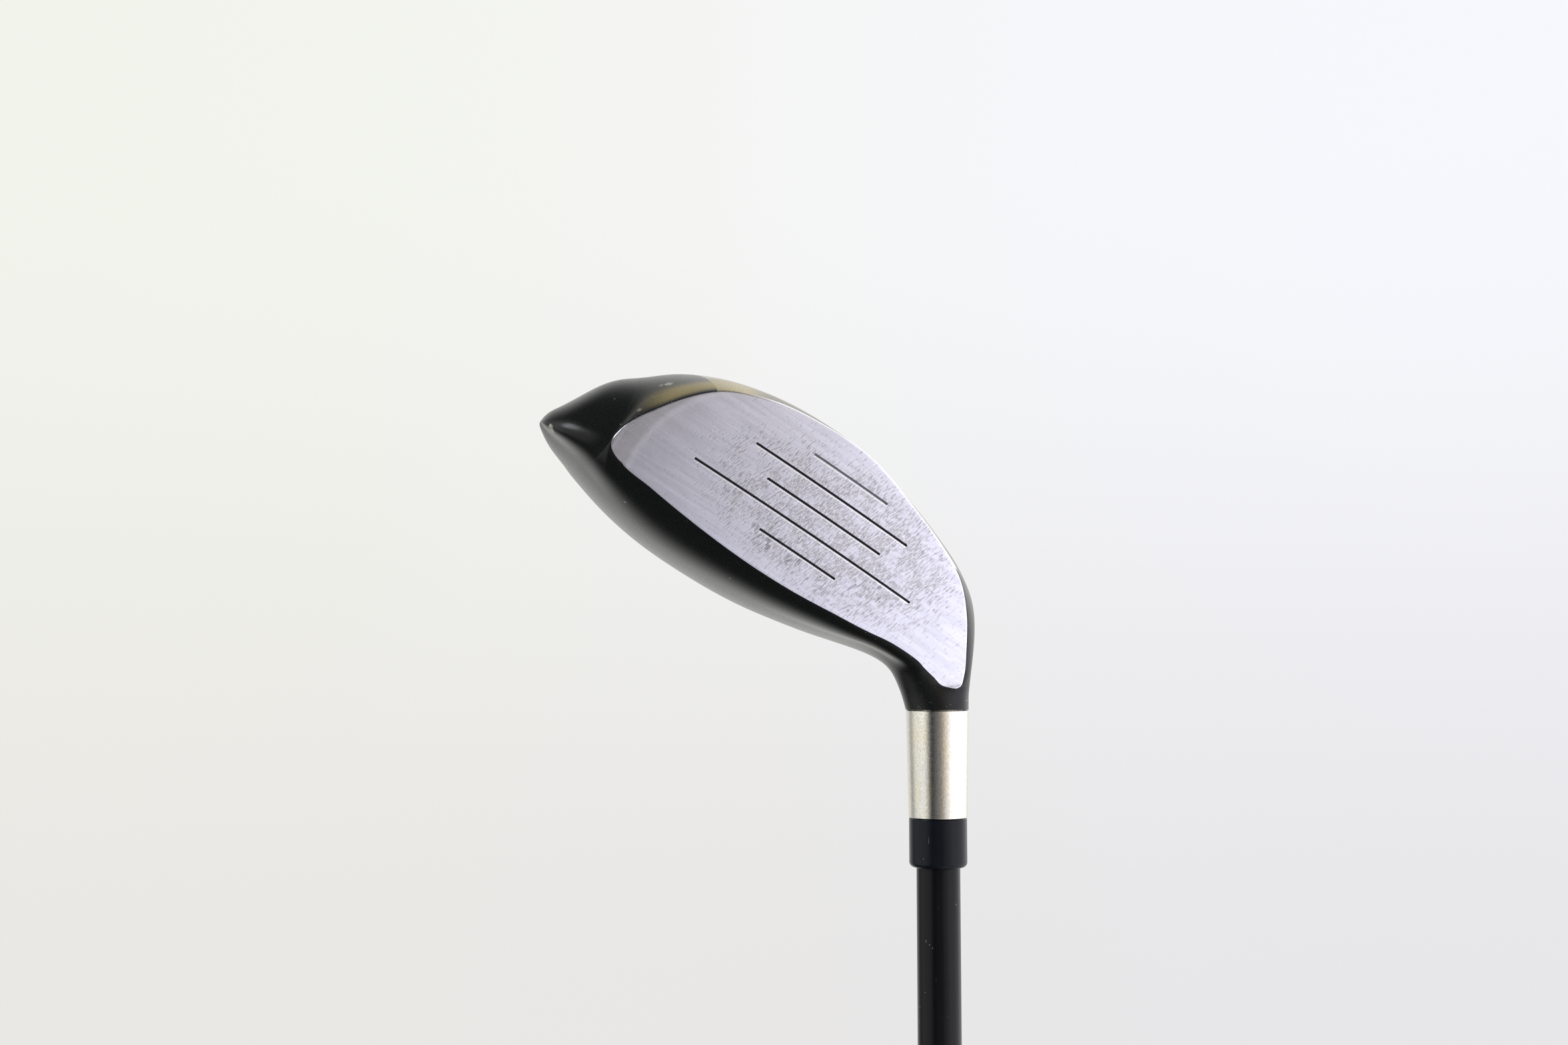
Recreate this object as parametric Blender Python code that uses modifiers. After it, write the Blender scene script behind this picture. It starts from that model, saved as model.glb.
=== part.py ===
"""Fairway wood golf club, left-handed, modelled in metres.

Part frame: the origin is on the shaft's axis at the butt end of the grip, +Z runs along the
shaft towards the head, the face looks to -Y and the toe points to -X.

The head is designed in address coordinates, the way the club stands behind a ball:
t towards the toe, f forward to the target and u up from the ground. They start at the
point where the shaft's axis meets the ground.
"""

import bmesh
import bpy
import numpy as np
from math import cos, pi, radians, sin, tan

MM = 0.001
GAP = 0.0003
TINY = 0.000001

# Club
CLUB_LENGTH = 1.080
LIE = radians(59.0)
LOFT = radians(17.0)

# Head: heights, depths and distances along the shaft's axis (from the ground) in millimetres
NECK_TOP = 44.25
NECK_RADIUS = 6.65
FACE_PROGRESSION = 18.6
FACE_BULGE = 350.0
FACE_MIDDLE = (24.0, 19.0)
SHELL_WALL = 1.8
SLANT_ALLOWANCE = 1.5
CROWN_WALL = 1.0
FACE_WALL = 2.8
FACE_RIM = 1.5
PLATE_HEEL = -9.0
WEIGHT_PLACE = (26.0, -30.0, 8.9)
WEIGHT_SIZE = (27.0, 18.0, 3.2)
SOLE_SLOPE = 0.3
HEAD_STATIONS = 40
CAVITY_STATIONS = 24
# The surface is first drawn over many stations, closer together over the toe's share of the
# length, and evened out over EVENING millimetres, or less beside the face's sharp edges
EVEN_STATIONS = 240
TOE_SHARE = 0.12
TOE_CROWDING = 0.012
TOE_FULLNESS = 1.6
EVENING = 6.0
EDGE_HOLD = 3.0
# The plates: stations of each, the narrowest end of the face plate, and the span of the
# crown plate along the head with how many columns it stays inside the crown's edges
PLATE_STATIONS = 24
FACE_PLATE_COLUMNS = 9
FACE_PLATE_END = 4.0
CROWN_PLATE_SPAN = (0.10, 0.66)
CROWN_PLATE_MARGIN = 2
# How far the cutters of the two openings stand out of the surface and go into it
FACE_OPENING = (4.0, 7.0)
CROWN_OPENING = (1.5, 2.6)

# Hosel tube, ferrule and shaft, along the axis from the ground in millimetres
HOSEL_INNER_END = 20.0
HOSEL_TUBE_RADIUS = 5.55
HOSEL_BORE_RADIUS = 4.95
COLLAR_LENGTH = 22.5
COLLAR_END_RADIUS = 6.2
FERRULE_LENGTH = 10.0
FERRULE_RADIUS = 6.1
SHAFT_TIP_RADIUS = 4.6
SHAFT_BUTT_RADIUS = 7.6
SHAFT_WALL = 0.9
SHAFT_TIP_END = 21.0
TIP_STRAIGHT = 100.0
PLUG_LENGTH = 9.0

# Grip, along Z from the butt in millimetres
GRIP_LENGTH = 267.0
GRIP_BUTT_RADIUS = 13.3
GRIP_MOUTH_RADIUS = 9.9
CAP_RADIUS = 13.5
CAP_THICKNESS = 3.2
VENT_RADIUS = 1.2
SPIGOT_RADIUS = 5.9
SPIGOT_LENGTH = 7.0
TAPE_THICKNESS = 0.25
GRIP_RIBS = 9

# Score lines: height of the middle of the line, and the ends along t
SCORE_LINES = ((11.6, 14.0, 32.6), (16.0, 5.5, 43.5), (20.4, 9.3, 37.7),
               (24.7, -2.1, 51.9), (29.2, 14.2, 33.2))
SCORE_WIDTH = 0.7
SCORE_DEPTH = 0.5

SCREW_STEPS = 32

# The head's guide sections, from the toe to the top of the neck. Each has the tilt of its
# plane, the directions in which the outline reaches the face's lower edge and leaves its upper
# edge (degrees from forward towards up), five guide points and how round the section is. The
# face's two edges are (t, lift, u), where lift is how far they stand in front of the face's
# own surface; the crown's top, the rear ridge and the sole's lowest point are (t, f, u).
SECTIONS = (
    (0, 84, 96, (76.7, -6.0, 30.8), (76.7, -6.0, 30.8),
     (76.4, -9.5, 32.2), (76.7, -16.0, 30.2), (76.0, -9.0, 24.4), 0.7),
    (0, 80, 100, (73.0, -2.5, 30.4), (73.0, -2.5, 30.4),
     (72.6, -8.0, 33.2), (73.0, -23.5, 29.4), (71.9, -9.5, 16.6), 0.4),
    (0, 70, 110, (67.2, 0.0, 29.4), (67.2, 0.0, 29.4),
     (67.0, -7.0, 34.8), (67.5, -31.5, 28.4), (66.8, -10.5, 12.0), 0.2),
    (0, 64, 116, (66.0, 0.0, 25.8), (65.8, 0.0, 31.2),
     (65.9, -7.0, 35.2), (66.3, -33.5, 28.1), (65.6, -10.6, 11.1), 0.2),
    (0, 56, 124, (63.7, 0.0, 21.3), (63.2, 0.0, 32.7),
     (63.5, -7.0, 36.1), (63.0, -38.0, 27.4), (62.5, -11.0, 8.2), 0.1),
    (0, 44, 130, (56.2, 0.0, 12.4), (55.7, 0.0, 33.8),
     (56.0, -7.0, 38.2), (55.5, -46.5, 25.8), (56.0, -11.0, 4.6), 0.0),
    (0, 30, 134, (46.7, 0.0, 8.1), (46.5, 0.0, 34.9),
     (46.5, -7.0, 39.6), (46.0, -52.8, 24.2), (46.0, -10.0, 1.6), 0.0),
    (0, 19, 135, (33.0, 0.0, 5.9), (33.0, 0.0, 35.8),
     (33.0, -7.0, 39.8), (33.0, -56.8, 23.0), (33.0, -8.0, 0.0), 0.0),
    (0, 18, 135, (21.4, 0.0, 6.1), (21.3, 0.0, 35.7),
     (21.3, -7.0, 39.0), (20.0, -57.0, 22.8), (20.0, -7.0, 0.8), 0.0),
    (2, 21, 133, (9.0, 0.0, 9.0), (9.5, 0.0, 34.7),
     (10.0, -6.0, 37.1), (8.0, -54.0, 23.2), (6.0, -6.0, 3.4), 0.0),
    (8, 30, 130, (-1.0, 0.0, 12.0), (2.5, 0.0, 34.0),
     (3.5, -4.5, 35.7), (-0.5, -48.0, 23.8), (-3.5, -5.0, 6.8), 0.1),
    (16, 45, 124, (-8.5, 0.0, 15.2), (-4.0, 0.0, 33.1),
     (-1.2, -3.0, 34.6), (-7.0, -38.5, 24.6), (-11.3, -3.0, 10.6), 0.25),
    (26, 62, 114, (-14.2, 0.0, 20.0), (-10.5, 0.1, 33.0),
     (-6.2, -1.5, 34.2), (-12.2, -26.5, 25.8), (-17.0, -0.8, 14.3), 0.4),
    (40, 70, 106, (-19.0, 0.0, 25.9), (-13.4, 0.1, 33.5),
     (-10.1, -0.5, 35.4), (-15.6, -14.8, 27.8), (-20.9, 0.0, 19.8), 0.6),
    (51, 75, 88, (-21.8, 0.0, 29.9), (-16.3, 0.2, 33.9),
     (-12.0, 0.0, 37.1), (-17.7, -8.4, 31.6), (-24.0, 0.0, 26.0), 0.85),
    (55, 76, 82, (-22.3, 0.5, 31.8), (-18.7, 0.8, 34.3),
     (-13.5, 0.0, 38.2), (-19.2, -7.6, 33.4), (-25.3, 0.0, 28.5), 0.93),
    (57, 77, 77, (-21.4, 1.1, 33.7), (-21.4, 1.1, 33.7),
     (-14.6, 0.0, 39.1), (-20.4, -7.0, 35.0), (-26.4, 0.0, 30.8), 1.0),
)
FACE_SECTIONS = (3, 17)
TOE_TIP = (78.9, -9.0, 31.0)
CAVITY_SPAN = slice(4, 12)
CAVITY_TIP = (70.5, -13.0, 25.5)
TONGUE_ANGLE = radians(-13.0)
# Lengths of the outline's handles as shares of each arc's chord, on the body and on the neck
BODY_HANDLES = ((0.36, 0.36), (0.48, 0.10), (0.14, 0.42), (0.45, 0.20))
NECK_HANDLES = ((0.41, 0.41), (0.39, 0.39), (0.39, 0.39), (0.37, 0.37))
FACE_COLUMNS = 10
ARC_COLUMNS = (5, 11, 12, 10)


def to_part(points):
    """Address coordinates in millimetres to the part's frame in metres."""
    t, f, u = np.moveaxis(np.asarray(points, float), -1, 0) * MM
    x = -t * sin(LIE) - u * cos(LIE)
    z = CLUB_LENGTH + t * cos(LIE) - u * sin(LIE)
    return np.stack([x, -f, z], axis=-1)


def axis_z(distance):
    """Z of a point on the shaft's axis, from its distance to the ground in millimetres."""
    return CLUB_LENGTH - distance * MM


def on_axis(distance, v=0.0, f=0.0):
    """Address point beside the shaft's axis: v is across it, on the toe's side."""
    return np.array([-distance * cos(LIE) + v * sin(LIE), f, distance * sin(LIE) + v * cos(LIE)])


def face_surface(t, u):
    """How far forward the lofted face is: a plane with bulge and roll."""
    bow = (t - FACE_MIDDLE[0]) ** 2 + (u - FACE_MIDDLE[1]) ** 2
    return FACE_PROGRESSION - u * tan(LOFT) - bow / (2 * FACE_BULGE)


def neck_section():
    """The last guide section, a circle where the collar starts."""
    def rim(angle):
        return on_axis(NECK_TOP, NECK_RADIUS * sin(angle), NECK_RADIUS * cos(angle))

    front = rim(TONGUE_ANGLE)
    front[1] -= face_surface(front[0], front[2])
    tilt = LIE * 180 / pi
    return (tilt, 77, 77, front, front, rim(pi / 2), rim(pi), rim(-pi / 2), 1.0)


def outline_controls(section):
    """Bezier points of one section: four arcs from the face's top edge round to its lower."""
    tilt, lower_angle, upper_angle, lower, upper, crown, ridge, sole, roundness = section
    across = np.array([sin(radians(tilt)), 0.0, cos(radians(tilt))])
    forward = np.array([0.0, 1.0, 0.0])
    lower = np.array(lower, float)
    upper = np.array(upper, float)
    for edge in (lower, upper):
        edge[1] += face_surface(edge[0], edge[2])

    def direction(angle):
        return cos(radians(angle)) * forward + sin(radians(angle)) * across

    stops = [upper, np.array(crown), np.array(ridge), np.array(sole), lower]
    ways = [direction(upper_angle), -forward, -across, forward, direction(lower_angle)]
    points = [stops[0]]
    for arc in range(4):
        start, end = stops[arc], stops[arc + 1]
        chord = np.linalg.norm(end - start)
        body, neck = BODY_HANDLES[arc], NECK_HANDLES[arc]
        leave = body[0] + (neck[0] - body[0]) * roundness
        reach = body[1] + (neck[1] - body[1]) * roundness
        points += [start + ways[arc] * leave * chord, end - ways[arc + 1] * reach * chord, end]
    return np.array(points)


def smooth_rows(rows, knots, at):
    """Rows of points joined along the head by a cubic curve with averaged slopes."""
    steps = np.diff(knots)[:, None, None]
    slopes = np.diff(rows, axis=0) / steps
    tangents = np.empty_like(rows)
    tangents[1:-1] = (slopes[:-1] * steps[1:] + slopes[1:] * steps[:-1]) / (steps[1:] + steps[:-1])
    tangents[0] = slopes[0] * TOE_FULLNESS
    tangents[0, :, 0] = 0.0
    tangents[-1] = slopes[-1]
    index = np.clip(np.searchsorted(knots, at, side="right") - 1, 0, len(knots) - 2)
    span = (knots[index + 1] - knots[index])[:, None, None]
    x = ((at - knots[index]) / (knots[index + 1] - knots[index]))[:, None, None]
    return ((1 + 2 * x) * (1 - x) ** 2 * rows[index] + x * (1 - x) ** 2 * span * tangents[index]
            + x * x * (3 - 2 * x) * rows[index + 1]
            + x * x * (x - 1) * span * tangents[index + 1])


def even_out(grid, at, reaches, beyond_face):
    """Evens a surface out along the head, over each column's own reach in millimetres.

    Beyond the face's ends a column's reach grows to at least the distance from the end."""
    apart = np.abs(at[:, None] - at)
    spacing = np.gradient(at)
    to_end = np.minimum(at - at[0], at[-1] - at)
    even = grid.copy()
    for column, reach in enumerate(reaches):
        near = np.minimum(np.maximum(reach, beyond_face), to_end)[:, None] + TINY
        weights = spacing * (1 + np.cos(pi * np.clip(apart / near, 0, 1)))
        even[:, column] = weights @ grid[:, column] / weights.sum(axis=1)[:, None]
    return even


def surface_rows(sections, tip, face_ends, stations, first=0.0, last=1.0):
    """Rows of points over guide sections that close in a rounded tip at the toe's end.

    face_ends are the sections between which the face's two edges lie apart. Only the share
    from first to last of the whole length is made."""
    controls = np.array([np.tile(tip, (13, 1))] + [outline_controls(s) for s in sections])
    middles = controls[:, [3, 6, 9, 12]]
    jumps = np.linalg.norm(np.diff(middles, axis=0), axis=2).mean(axis=1)
    knots = np.concatenate([[0.0], np.cumsum(jumps)])
    share = np.linspace(0, 1, EVEN_STATIONS)
    at = knots[-1] * (share - TOE_CROWDING * np.sin(pi * np.clip(share / TOE_SHARE, 0, 1)))
    rows = smooth_rows(controls, knots, at)
    beyond_face = (at < knots[face_ends[0]]) | (at > knots[face_ends[1]])
    middle = (rows[beyond_face, 0] + rows[beyond_face, 12]) / 2
    rows[beyond_face, 1] += middle - rows[beyond_face, 0]
    rows[beyond_face, 11] += middle - rows[beyond_face, 12]
    rows[beyond_face, 0] = middle
    rows[beyond_face, 12] = middle
    height = np.linalg.norm(rows[:, 0] - rows[:, 12], axis=1)
    columns, reaches = [], []
    for x in np.linspace(0, 1, FACE_COLUMNS + 1)[:-1]:
        point = rows[:, 12] * (1 - x) + rows[:, 0] * x
        point[:, 1] += height ** 2 / (2 * FACE_BULGE) * x * (1 - x)
        columns.append(point)
        reaches.append(0.0)
    for arc, count in enumerate(ARC_COLUMNS):
        a, b, c, d = (rows[:, 3 * arc + k] for k in range(4))
        for x in np.linspace(0, 1, count + 1)[:-1]:
            columns.append((1 - x) ** 3 * a + 3 * x * (1 - x) ** 2 * b
                           + 3 * x * x * (1 - x) * c + x ** 3 * d)
            from_edge = {0: x, 3: 1 - x}.get(arc, 1.0)
            reaches.append(EVENING * min(1.0, EDGE_HOLD * from_edge))
    beyond = np.clip(np.maximum(knots[face_ends[0]] - at, at - knots[face_ends[1]]), 0, EVENING)
    kept = np.linspace(first, last, stations) * (EVEN_STATIONS - 1)
    return even_out(np.stack(columns, axis=1), at, reaches, beyond)[kept.round().astype(int)]


def head_rows(stations, first=0.0, last=1.0):
    """The head's outer surface, from the toe to the neck."""
    return surface_rows(SECTIONS + (neck_section(),), TOE_TIP, FACE_SECTIONS, stations, first, last)


def cavity_rows():
    """The hollow inside the shell: guide sections of the body moved in by the wall."""
    moved = []
    for tilt, low, high, lower, upper, crown, ridge, sole, roundness in SECTIONS[CAVITY_SPAN]:
        moved.append((tilt, low, high,
                      (lower[0], -FACE_WALL, lower[2] + SLANT_ALLOWANCE * SHELL_WALL),
                      (upper[0], -FACE_WALL, upper[2] - SHELL_WALL),
                      (crown[0], crown[1], crown[2] - SHELL_WALL),
                      (ridge[0], ridge[1] + SLANT_ALLOWANCE * SHELL_WALL, ridge[2]),
                      (sole[0], sole[1], sole[2] + SHELL_WALL), roundness))
    return surface_rows(moved, CAVITY_TIP, (0, len(moved)), CAVITY_STATIONS)


def clear_scene():
    for item in list(bpy.data.objects):
        bpy.data.objects.remove(item, do_unlink=True)


def collection(name, hidden=False):
    made = bpy.data.collections.new(name)
    bpy.context.scene.collection.children.link(made)
    made.hide_render = hidden
    return made


def material(name, colour, roughness, metallic):
    made = bpy.data.materials.new(name)
    made.use_nodes = True
    shader = made.node_tree.nodes["Principled BSDF"]
    shader.inputs["Base Color"].default_value = (*colour, 1.0)
    shader.inputs["Roughness"].default_value = roughness
    shader.inputs["Metallic"].default_value = metallic
    return made


def place(name, mesh, home, finish=None):
    item = bpy.data.objects.new(name, mesh)
    home.objects.link(item)
    if finish:
        mesh.materials.append(finish)
    mesh.shade_smooth()
    mesh.set_sharp_from_angle(angle=radians(35))
    if home.hide_render:
        item.hide_render = True
        item.display_type = "WIRE"
    return item


def solid_from_rows(name, rows, home, finish=None):
    """A closed body from rings of points: each row is one ring, and both ends are capped."""
    points = to_part(rows)
    count, around = points.shape[:2]
    shape = bmesh.new()
    rings = [[shape.verts.new(point) for point in row] for row in points]
    for near, far in zip(rings[:-1], rings[1:]):
        for k in range(around):
            following = (k + 1) % around
            shape.faces.new((near[k], near[following], far[following], far[k]))
    shape.faces.new(rings[0][::-1])
    shape.faces.new(rings[-1])
    bmesh.ops.remove_doubles(shape, verts=shape.verts, dist=0.00001)
    bmesh.ops.recalc_face_normals(shape, faces=shape.faces)
    mesh = bpy.data.meshes.new(name)
    shape.to_mesh(mesh)
    shape.free()
    return place(name, mesh, home, finish)


def turned(name, profile, home, finish=None, offset=0.0):
    """A body turned round Z from a closed profile of (radius, z), down its outer side first."""
    shape = bmesh.new()
    points = [shape.verts.new((radius, 0.0, z)) for radius, z in profile]
    for start, end in zip(points, points[1:] + points[:1]):
        if start.co.x > 0 or end.co.x > 0:
            shape.edges.new((start, end))
    mesh = bpy.data.meshes.new(name)
    shape.to_mesh(mesh)
    shape.free()
    item = place(name, mesh, home, finish)
    item.location.x = offset
    screw = item.modifiers.new("turn", "SCREW")
    screw.axis = "Z"
    screw.steps = SCREW_STEPS
    screw.render_steps = SCREW_STEPS
    screw.use_merge_vertices = True
    screw.merge_threshold = 0.00001
    return item


def cut(item, cutter):
    boolean = item.modifiers.new(cutter.name, "BOOLEAN")
    boolean.operation = "DIFFERENCE"
    boolean.solver = "EXACT"
    boolean.object = cutter


def ring_profile(outer, inner):
    """A tube's profile: its outer side from the top down, then its inner side back up."""
    return outer + inner[::-1]


def sheet_normals(grid):
    along = np.gradient(grid, axis=0)
    across = np.gradient(grid, axis=1)
    normal = np.cross(along, across)
    length = np.linalg.norm(normal, axis=2)[..., None]
    normal = normal / np.maximum(length, TINY)
    for _ in range(FACE_COLUMNS + 2):
        normal = np.where(length > TINY, normal, np.roll(normal, 1, axis=1))
        length = np.where(length > TINY, length, np.roll(length, 1, axis=1))
    return normal


def block_from_sheet(name, grid, proud, depth, home, finish=None):
    """A plate on a patch of surface, from proud above it to depth below it."""
    normal = sheet_normals(grid)
    over, under = grid + normal * proud, grid - normal * depth
    rows = np.concatenate([over, under[:, ::-1]], axis=1)
    return solid_from_rows(name, rows, home, finish)


def face_patch(inset):
    """The face's surface inside its outline, with its edges moved in by inset."""
    rows = head_rows(EVEN_STATIONS)
    lower, upper = rows[:, 0], rows[:, FACE_COLUMNS]
    height = np.linalg.norm(upper - lower, axis=1)
    wide = np.flatnonzero((height > 2 * inset + FACE_PLATE_END) & (lower[:, 0] > PLATE_HEEL))
    inward = inset * (upper - lower)[wide] / height[wide, None]
    inward_t = inset * np.linspace(-1, 1, len(wide))
    lower, upper = lower[wide] + inward, upper[wide] - inward
    lower[:, 0] += inward_t
    upper[:, 0] += inward_t
    station = np.linspace(0, len(wide) - 1, PLATE_STATIONS).round().astype(int)
    share = np.linspace(0, 1, FACE_PLATE_COLUMNS)[None, :, None]
    grid = lower[station, None] * (1 - share) + upper[station, None] * share
    grid[..., 1] = face_surface(grid[..., 0], grid[..., 2])
    return grid


def crown_patch(inset):
    """The crown between the face's upper edge and the rear ridge, moved in by inset."""
    first = FACE_COLUMNS + CROWN_PLATE_MARGIN
    last = FACE_COLUMNS + ARC_COLUMNS[0] + ARC_COLUMNS[1] - CROWN_PLATE_MARGIN
    rows = head_rows(PLATE_STATIONS, *CROWN_PLATE_SPAN)[:, first:last + 1]
    for sheet in (rows, rows.swapaxes(0, 1)):
        for edge, beside in ((0, 1), (-1, -2)):
            way = sheet[beside] - sheet[edge]
            sheet[edge] += inset * way / np.linalg.norm(way, axis=1)[:, None]
    return rows


def axis_cylinder(name, radius, near, far, home):
    """A cutter along the shaft's axis between two distances from the ground."""
    profile = [(radius, axis_z(near)), (radius, axis_z(far)), (0.0, axis_z(far)), (0.0, axis_z(near))]
    return turned(name, profile, home)


def head(parts, cutters, finishes):
    body = solid_from_rows("head_body", head_rows(HEAD_STATIONS), parts, finishes["black_paint"])
    hollow = solid_from_rows("head_hollow", cavity_rows(), cutters)
    around_face = face_patch(FACE_RIM - GAP / MM)
    opening = block_from_sheet("face_opening", around_face, *FACE_OPENING, cutters)
    skylight = block_from_sheet("crown_opening", crown_patch(0.0), *CROWN_OPENING, cutters)
    bore = axis_cylinder("hosel_bore", HOSEL_TUBE_RADIUS * MM + GAP,
                         HOSEL_INNER_END - 1.0, NECK_TOP + 5.0, cutters)
    for cutter in (hollow, opening, skylight, bore):
        cut(body, cutter)
    block_from_sheet("crown_plate", crown_patch(GAP / MM), 0.0, CROWN_WALL, parts,
                     finishes["black_paint"])


def face(parts, cutters, finishes):
    plate = block_from_sheet("face_plate", face_patch(FACE_RIM), 0.0, FACE_WALL, parts,
                             finishes["brushed_face"])
    for number, (height, heel, toe) in enumerate(SCORE_LINES, start=1):
        t = np.linspace(toe, heel, 16)
        rows = []
        for side, depth in ((-0.5, -1.0), (0.5, -1.0), (0.5, SCORE_DEPTH), (-0.5, SCORE_DEPTH)):
            u = np.full_like(t, height + side * SCORE_WIDTH)
            rows.append(np.stack([t, face_surface(t, u) - depth, u], axis=1))
        groove = solid_from_rows(f"score_line_{number}", np.stack(rows, axis=1), cutters)
        cut(plate, groove)


def hosel(parts, finishes):
    inner_end, neck_end = axis_z(HOSEL_INNER_END), axis_z(NECK_TOP)
    collar_end = axis_z(NECK_TOP + COLLAR_LENGTH)
    tube, bore = HOSEL_TUBE_RADIUS * MM, HOSEL_BORE_RADIUS * MM
    top = neck_end - GAP
    outer = [(tube, inner_end), (tube, top), (NECK_RADIUS * MM, top),
             (COLLAR_END_RADIUS * MM, collar_end)]
    turned("hosel_tube", ring_profile(outer, [(bore, inner_end), (bore, collar_end)]), parts,
           finishes["bright_steel"])


def ferrule(parts, finishes):
    start = axis_z(NECK_TOP + COLLAR_LENGTH) - GAP
    end = start - FERRULE_LENGTH * MM
    radius, lip = FERRULE_RADIUS * MM, 1.1 * MM
    bore = shaft_radius(end) + GAP
    curve = [(radius - lip + lip * cos(a), end + lip - lip * sin(a))
             for a in np.linspace(0, pi / 2 * 0.9, 5)]
    outer = [(radius, start)] + curve
    turned("ferrule", ring_profile(outer, [(bore, start), (bore, curve[-1][1])]), parts,
           finishes["gloss_black"])


def shaft_radius(z):
    """The shaft's outer radius: straight at the tip, then an even taper to the butt."""
    from_tip = axis_z(SHAFT_TIP_END) - z - TIP_STRAIGHT * MM
    whole = axis_z(SHAFT_TIP_END) - TIP_STRAIGHT * MM - (CAP_THICKNESS * MM + GAP)
    share = max(0.0, min(1.0, from_tip / whole))
    return (SHAFT_TIP_RADIUS + (SHAFT_BUTT_RADIUS - SHAFT_TIP_RADIUS) * share) * MM


def shaft(parts, finishes):
    tip, butt = axis_z(SHAFT_TIP_END), CAP_THICKNESS * MM + GAP
    levels = [tip] + list(np.linspace(tip - TIP_STRAIGHT * MM, butt, 10))
    outer = [(shaft_radius(z), z) for z in levels]
    inner = [(radius - SHAFT_WALL * MM, z) for radius, z in outer]
    turned("shaft", ring_profile(outer, inner), parts, finishes["gloss_black"])


def tip_plug(parts, finishes):
    """The stopper in the shaft's tip, with a headed end against the hosel's mouth."""
    start = axis_z(SHAFT_TIP_END)
    inner = (SHAFT_TIP_RADIUS - SHAFT_WALL) * MM - GAP
    head_radius = SHAFT_TIP_RADIUS * MM - GAP
    profile = [(0.0, start + GAP + 1.2 * MM), (head_radius - 0.5 * MM, start + GAP + 1.2 * MM),
               (head_radius, start + GAP + 0.7 * MM), (head_radius, start + GAP),
               (inner, start + GAP), (inner, start - PLUG_LENGTH * MM + 1.0 * MM),
               (inner - 1.0 * MM, start - PLUG_LENGTH * MM), (0.0, start - PLUG_LENGTH * MM)]
    turned("tip_plug", profile, parts, finishes["grey_rubber"])


def sole_weight(parts, finishes):
    """The brass weight that sits low at the back of the head, on the inside of the sole."""
    angle = np.linspace(0, 2 * pi, 32, endpoint=False)
    rows = []
    for share, scale in ((0.0, 0.9), (0.15, 1.0), (0.8, 1.0), (1.0, 0.88)):
        t = WEIGHT_PLACE[0] + scale * WEIGHT_SIZE[0] / 2 * np.cos(angle)
        f = WEIGHT_PLACE[1] + scale * WEIGHT_SIZE[1] / 2 * np.sin(angle)
        floor = WEIGHT_PLACE[2] + SOLE_SLOPE * (WEIGHT_PLACE[1] - f)
        rows.append(np.stack([t, f, floor + share * WEIGHT_SIZE[2]], axis=1))
    solid_from_rows("sole_weight", np.array(rows), parts, finishes["brass"])


def grip(parts, finishes):
    start, end = CAP_THICKNESS * MM + GAP, GRIP_LENGTH * MM
    tape_end = end - 4.0 * MM

    def sleeve(z, clearance):
        return shaft_radius(z) + clearance

    def skin(z):
        share = (z - start) / (end - start)
        return (GRIP_BUTT_RADIUS + (GRIP_MOUTH_RADIUS - GRIP_BUTT_RADIUS) * share ** 0.85) * MM

    tape_outer = [(sleeve(z, GAP + TAPE_THICKNESS * MM), z) for z in (tape_end, start + GAP)]
    tape_inner = [(sleeve(z, GAP), z) for z in (tape_end, start + GAP)]
    turned("grip_tape", ring_profile(tape_outer, tape_inner), parts, finishes["paper_tape"])

    outer = [(skin(end) - 1.2 * MM, end), (skin(end), end - 1.2 * MM)]
    pitch = (end - start - 24 * MM) / GRIP_RIBS
    for rib in range(GRIP_RIBS):
        z = end - 12 * MM - rib * pitch
        outer += [(skin(z), z), (skin(z) - 0.5 * MM, z - 0.6 * MM),
                  (skin(z) - 0.5 * MM, z - 2.4 * MM), (skin(z), z - 3.0 * MM)]
    outer += [(skin(start), start)]
    clearance = 2 * GAP + TAPE_THICKNESS * MM
    inner = [(sleeve(z, clearance), z) for z in (end, start)]
    turned("grip", ring_profile(outer, inner), parts, finishes["black_rubber"])


def grip_cap(parts, finishes):
    """The cap over the butt, with a spigot in the shaft and a vent hole on its axis."""
    top, radius, edge = CAP_THICKNESS * MM, CAP_RADIUS * MM, 1.0 * MM
    vent, spigot = VENT_RADIUS * MM, SPIGOT_RADIUS * MM
    peg = top + SPIGOT_LENGTH * MM
    rounding = [(radius - edge + edge * cos(a), edge - edge * sin(a))
                for a in np.linspace(0, pi / 2, 5)]
    outer = [(spigot - 0.5 * MM, peg), (spigot, peg - 0.5 * MM), (spigot, top), (radius, top)]
    turned("grip_cap", ring_profile(outer + rounding, [(vent, peg), (vent, 0.0)]), parts,
           finishes["black_rubber"])


def build():
    clear_scene()
    parts, cutters = collection("fairway_wood"), collection("cutters", hidden=True)
    finishes = {
        "black_paint": material("black_paint", (0.012, 0.013, 0.014), 0.22, 0.0),
        "brushed_face": material("brushed_face", (0.62, 0.61, 0.66), 0.34, 1.0),
        "bright_steel": material("bright_steel", (0.72, 0.70, 0.66), 0.22, 1.0),
        "gloss_black": material("gloss_black", (0.010, 0.010, 0.012), 0.12, 0.0),
        "grey_rubber": material("grey_rubber", (0.20, 0.20, 0.20), 0.7, 0.0),
        "black_rubber": material("black_rubber", (0.020, 0.020, 0.021), 0.65, 0.0),
        "paper_tape": material("paper_tape", (0.62, 0.58, 0.46), 0.8, 0.0),
        "brass": material("brass", (0.72, 0.52, 0.24), 0.35, 1.0),
    }
    head(parts, cutters, finishes)
    face(parts, cutters, finishes)
    hosel(parts, finishes)
    ferrule(parts, finishes)
    shaft(parts, finishes)
    tip_plug(parts, finishes)
    sole_weight(parts, finishes)
    grip(parts, finishes)
    grip_cap(parts, finishes)


build()
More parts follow.
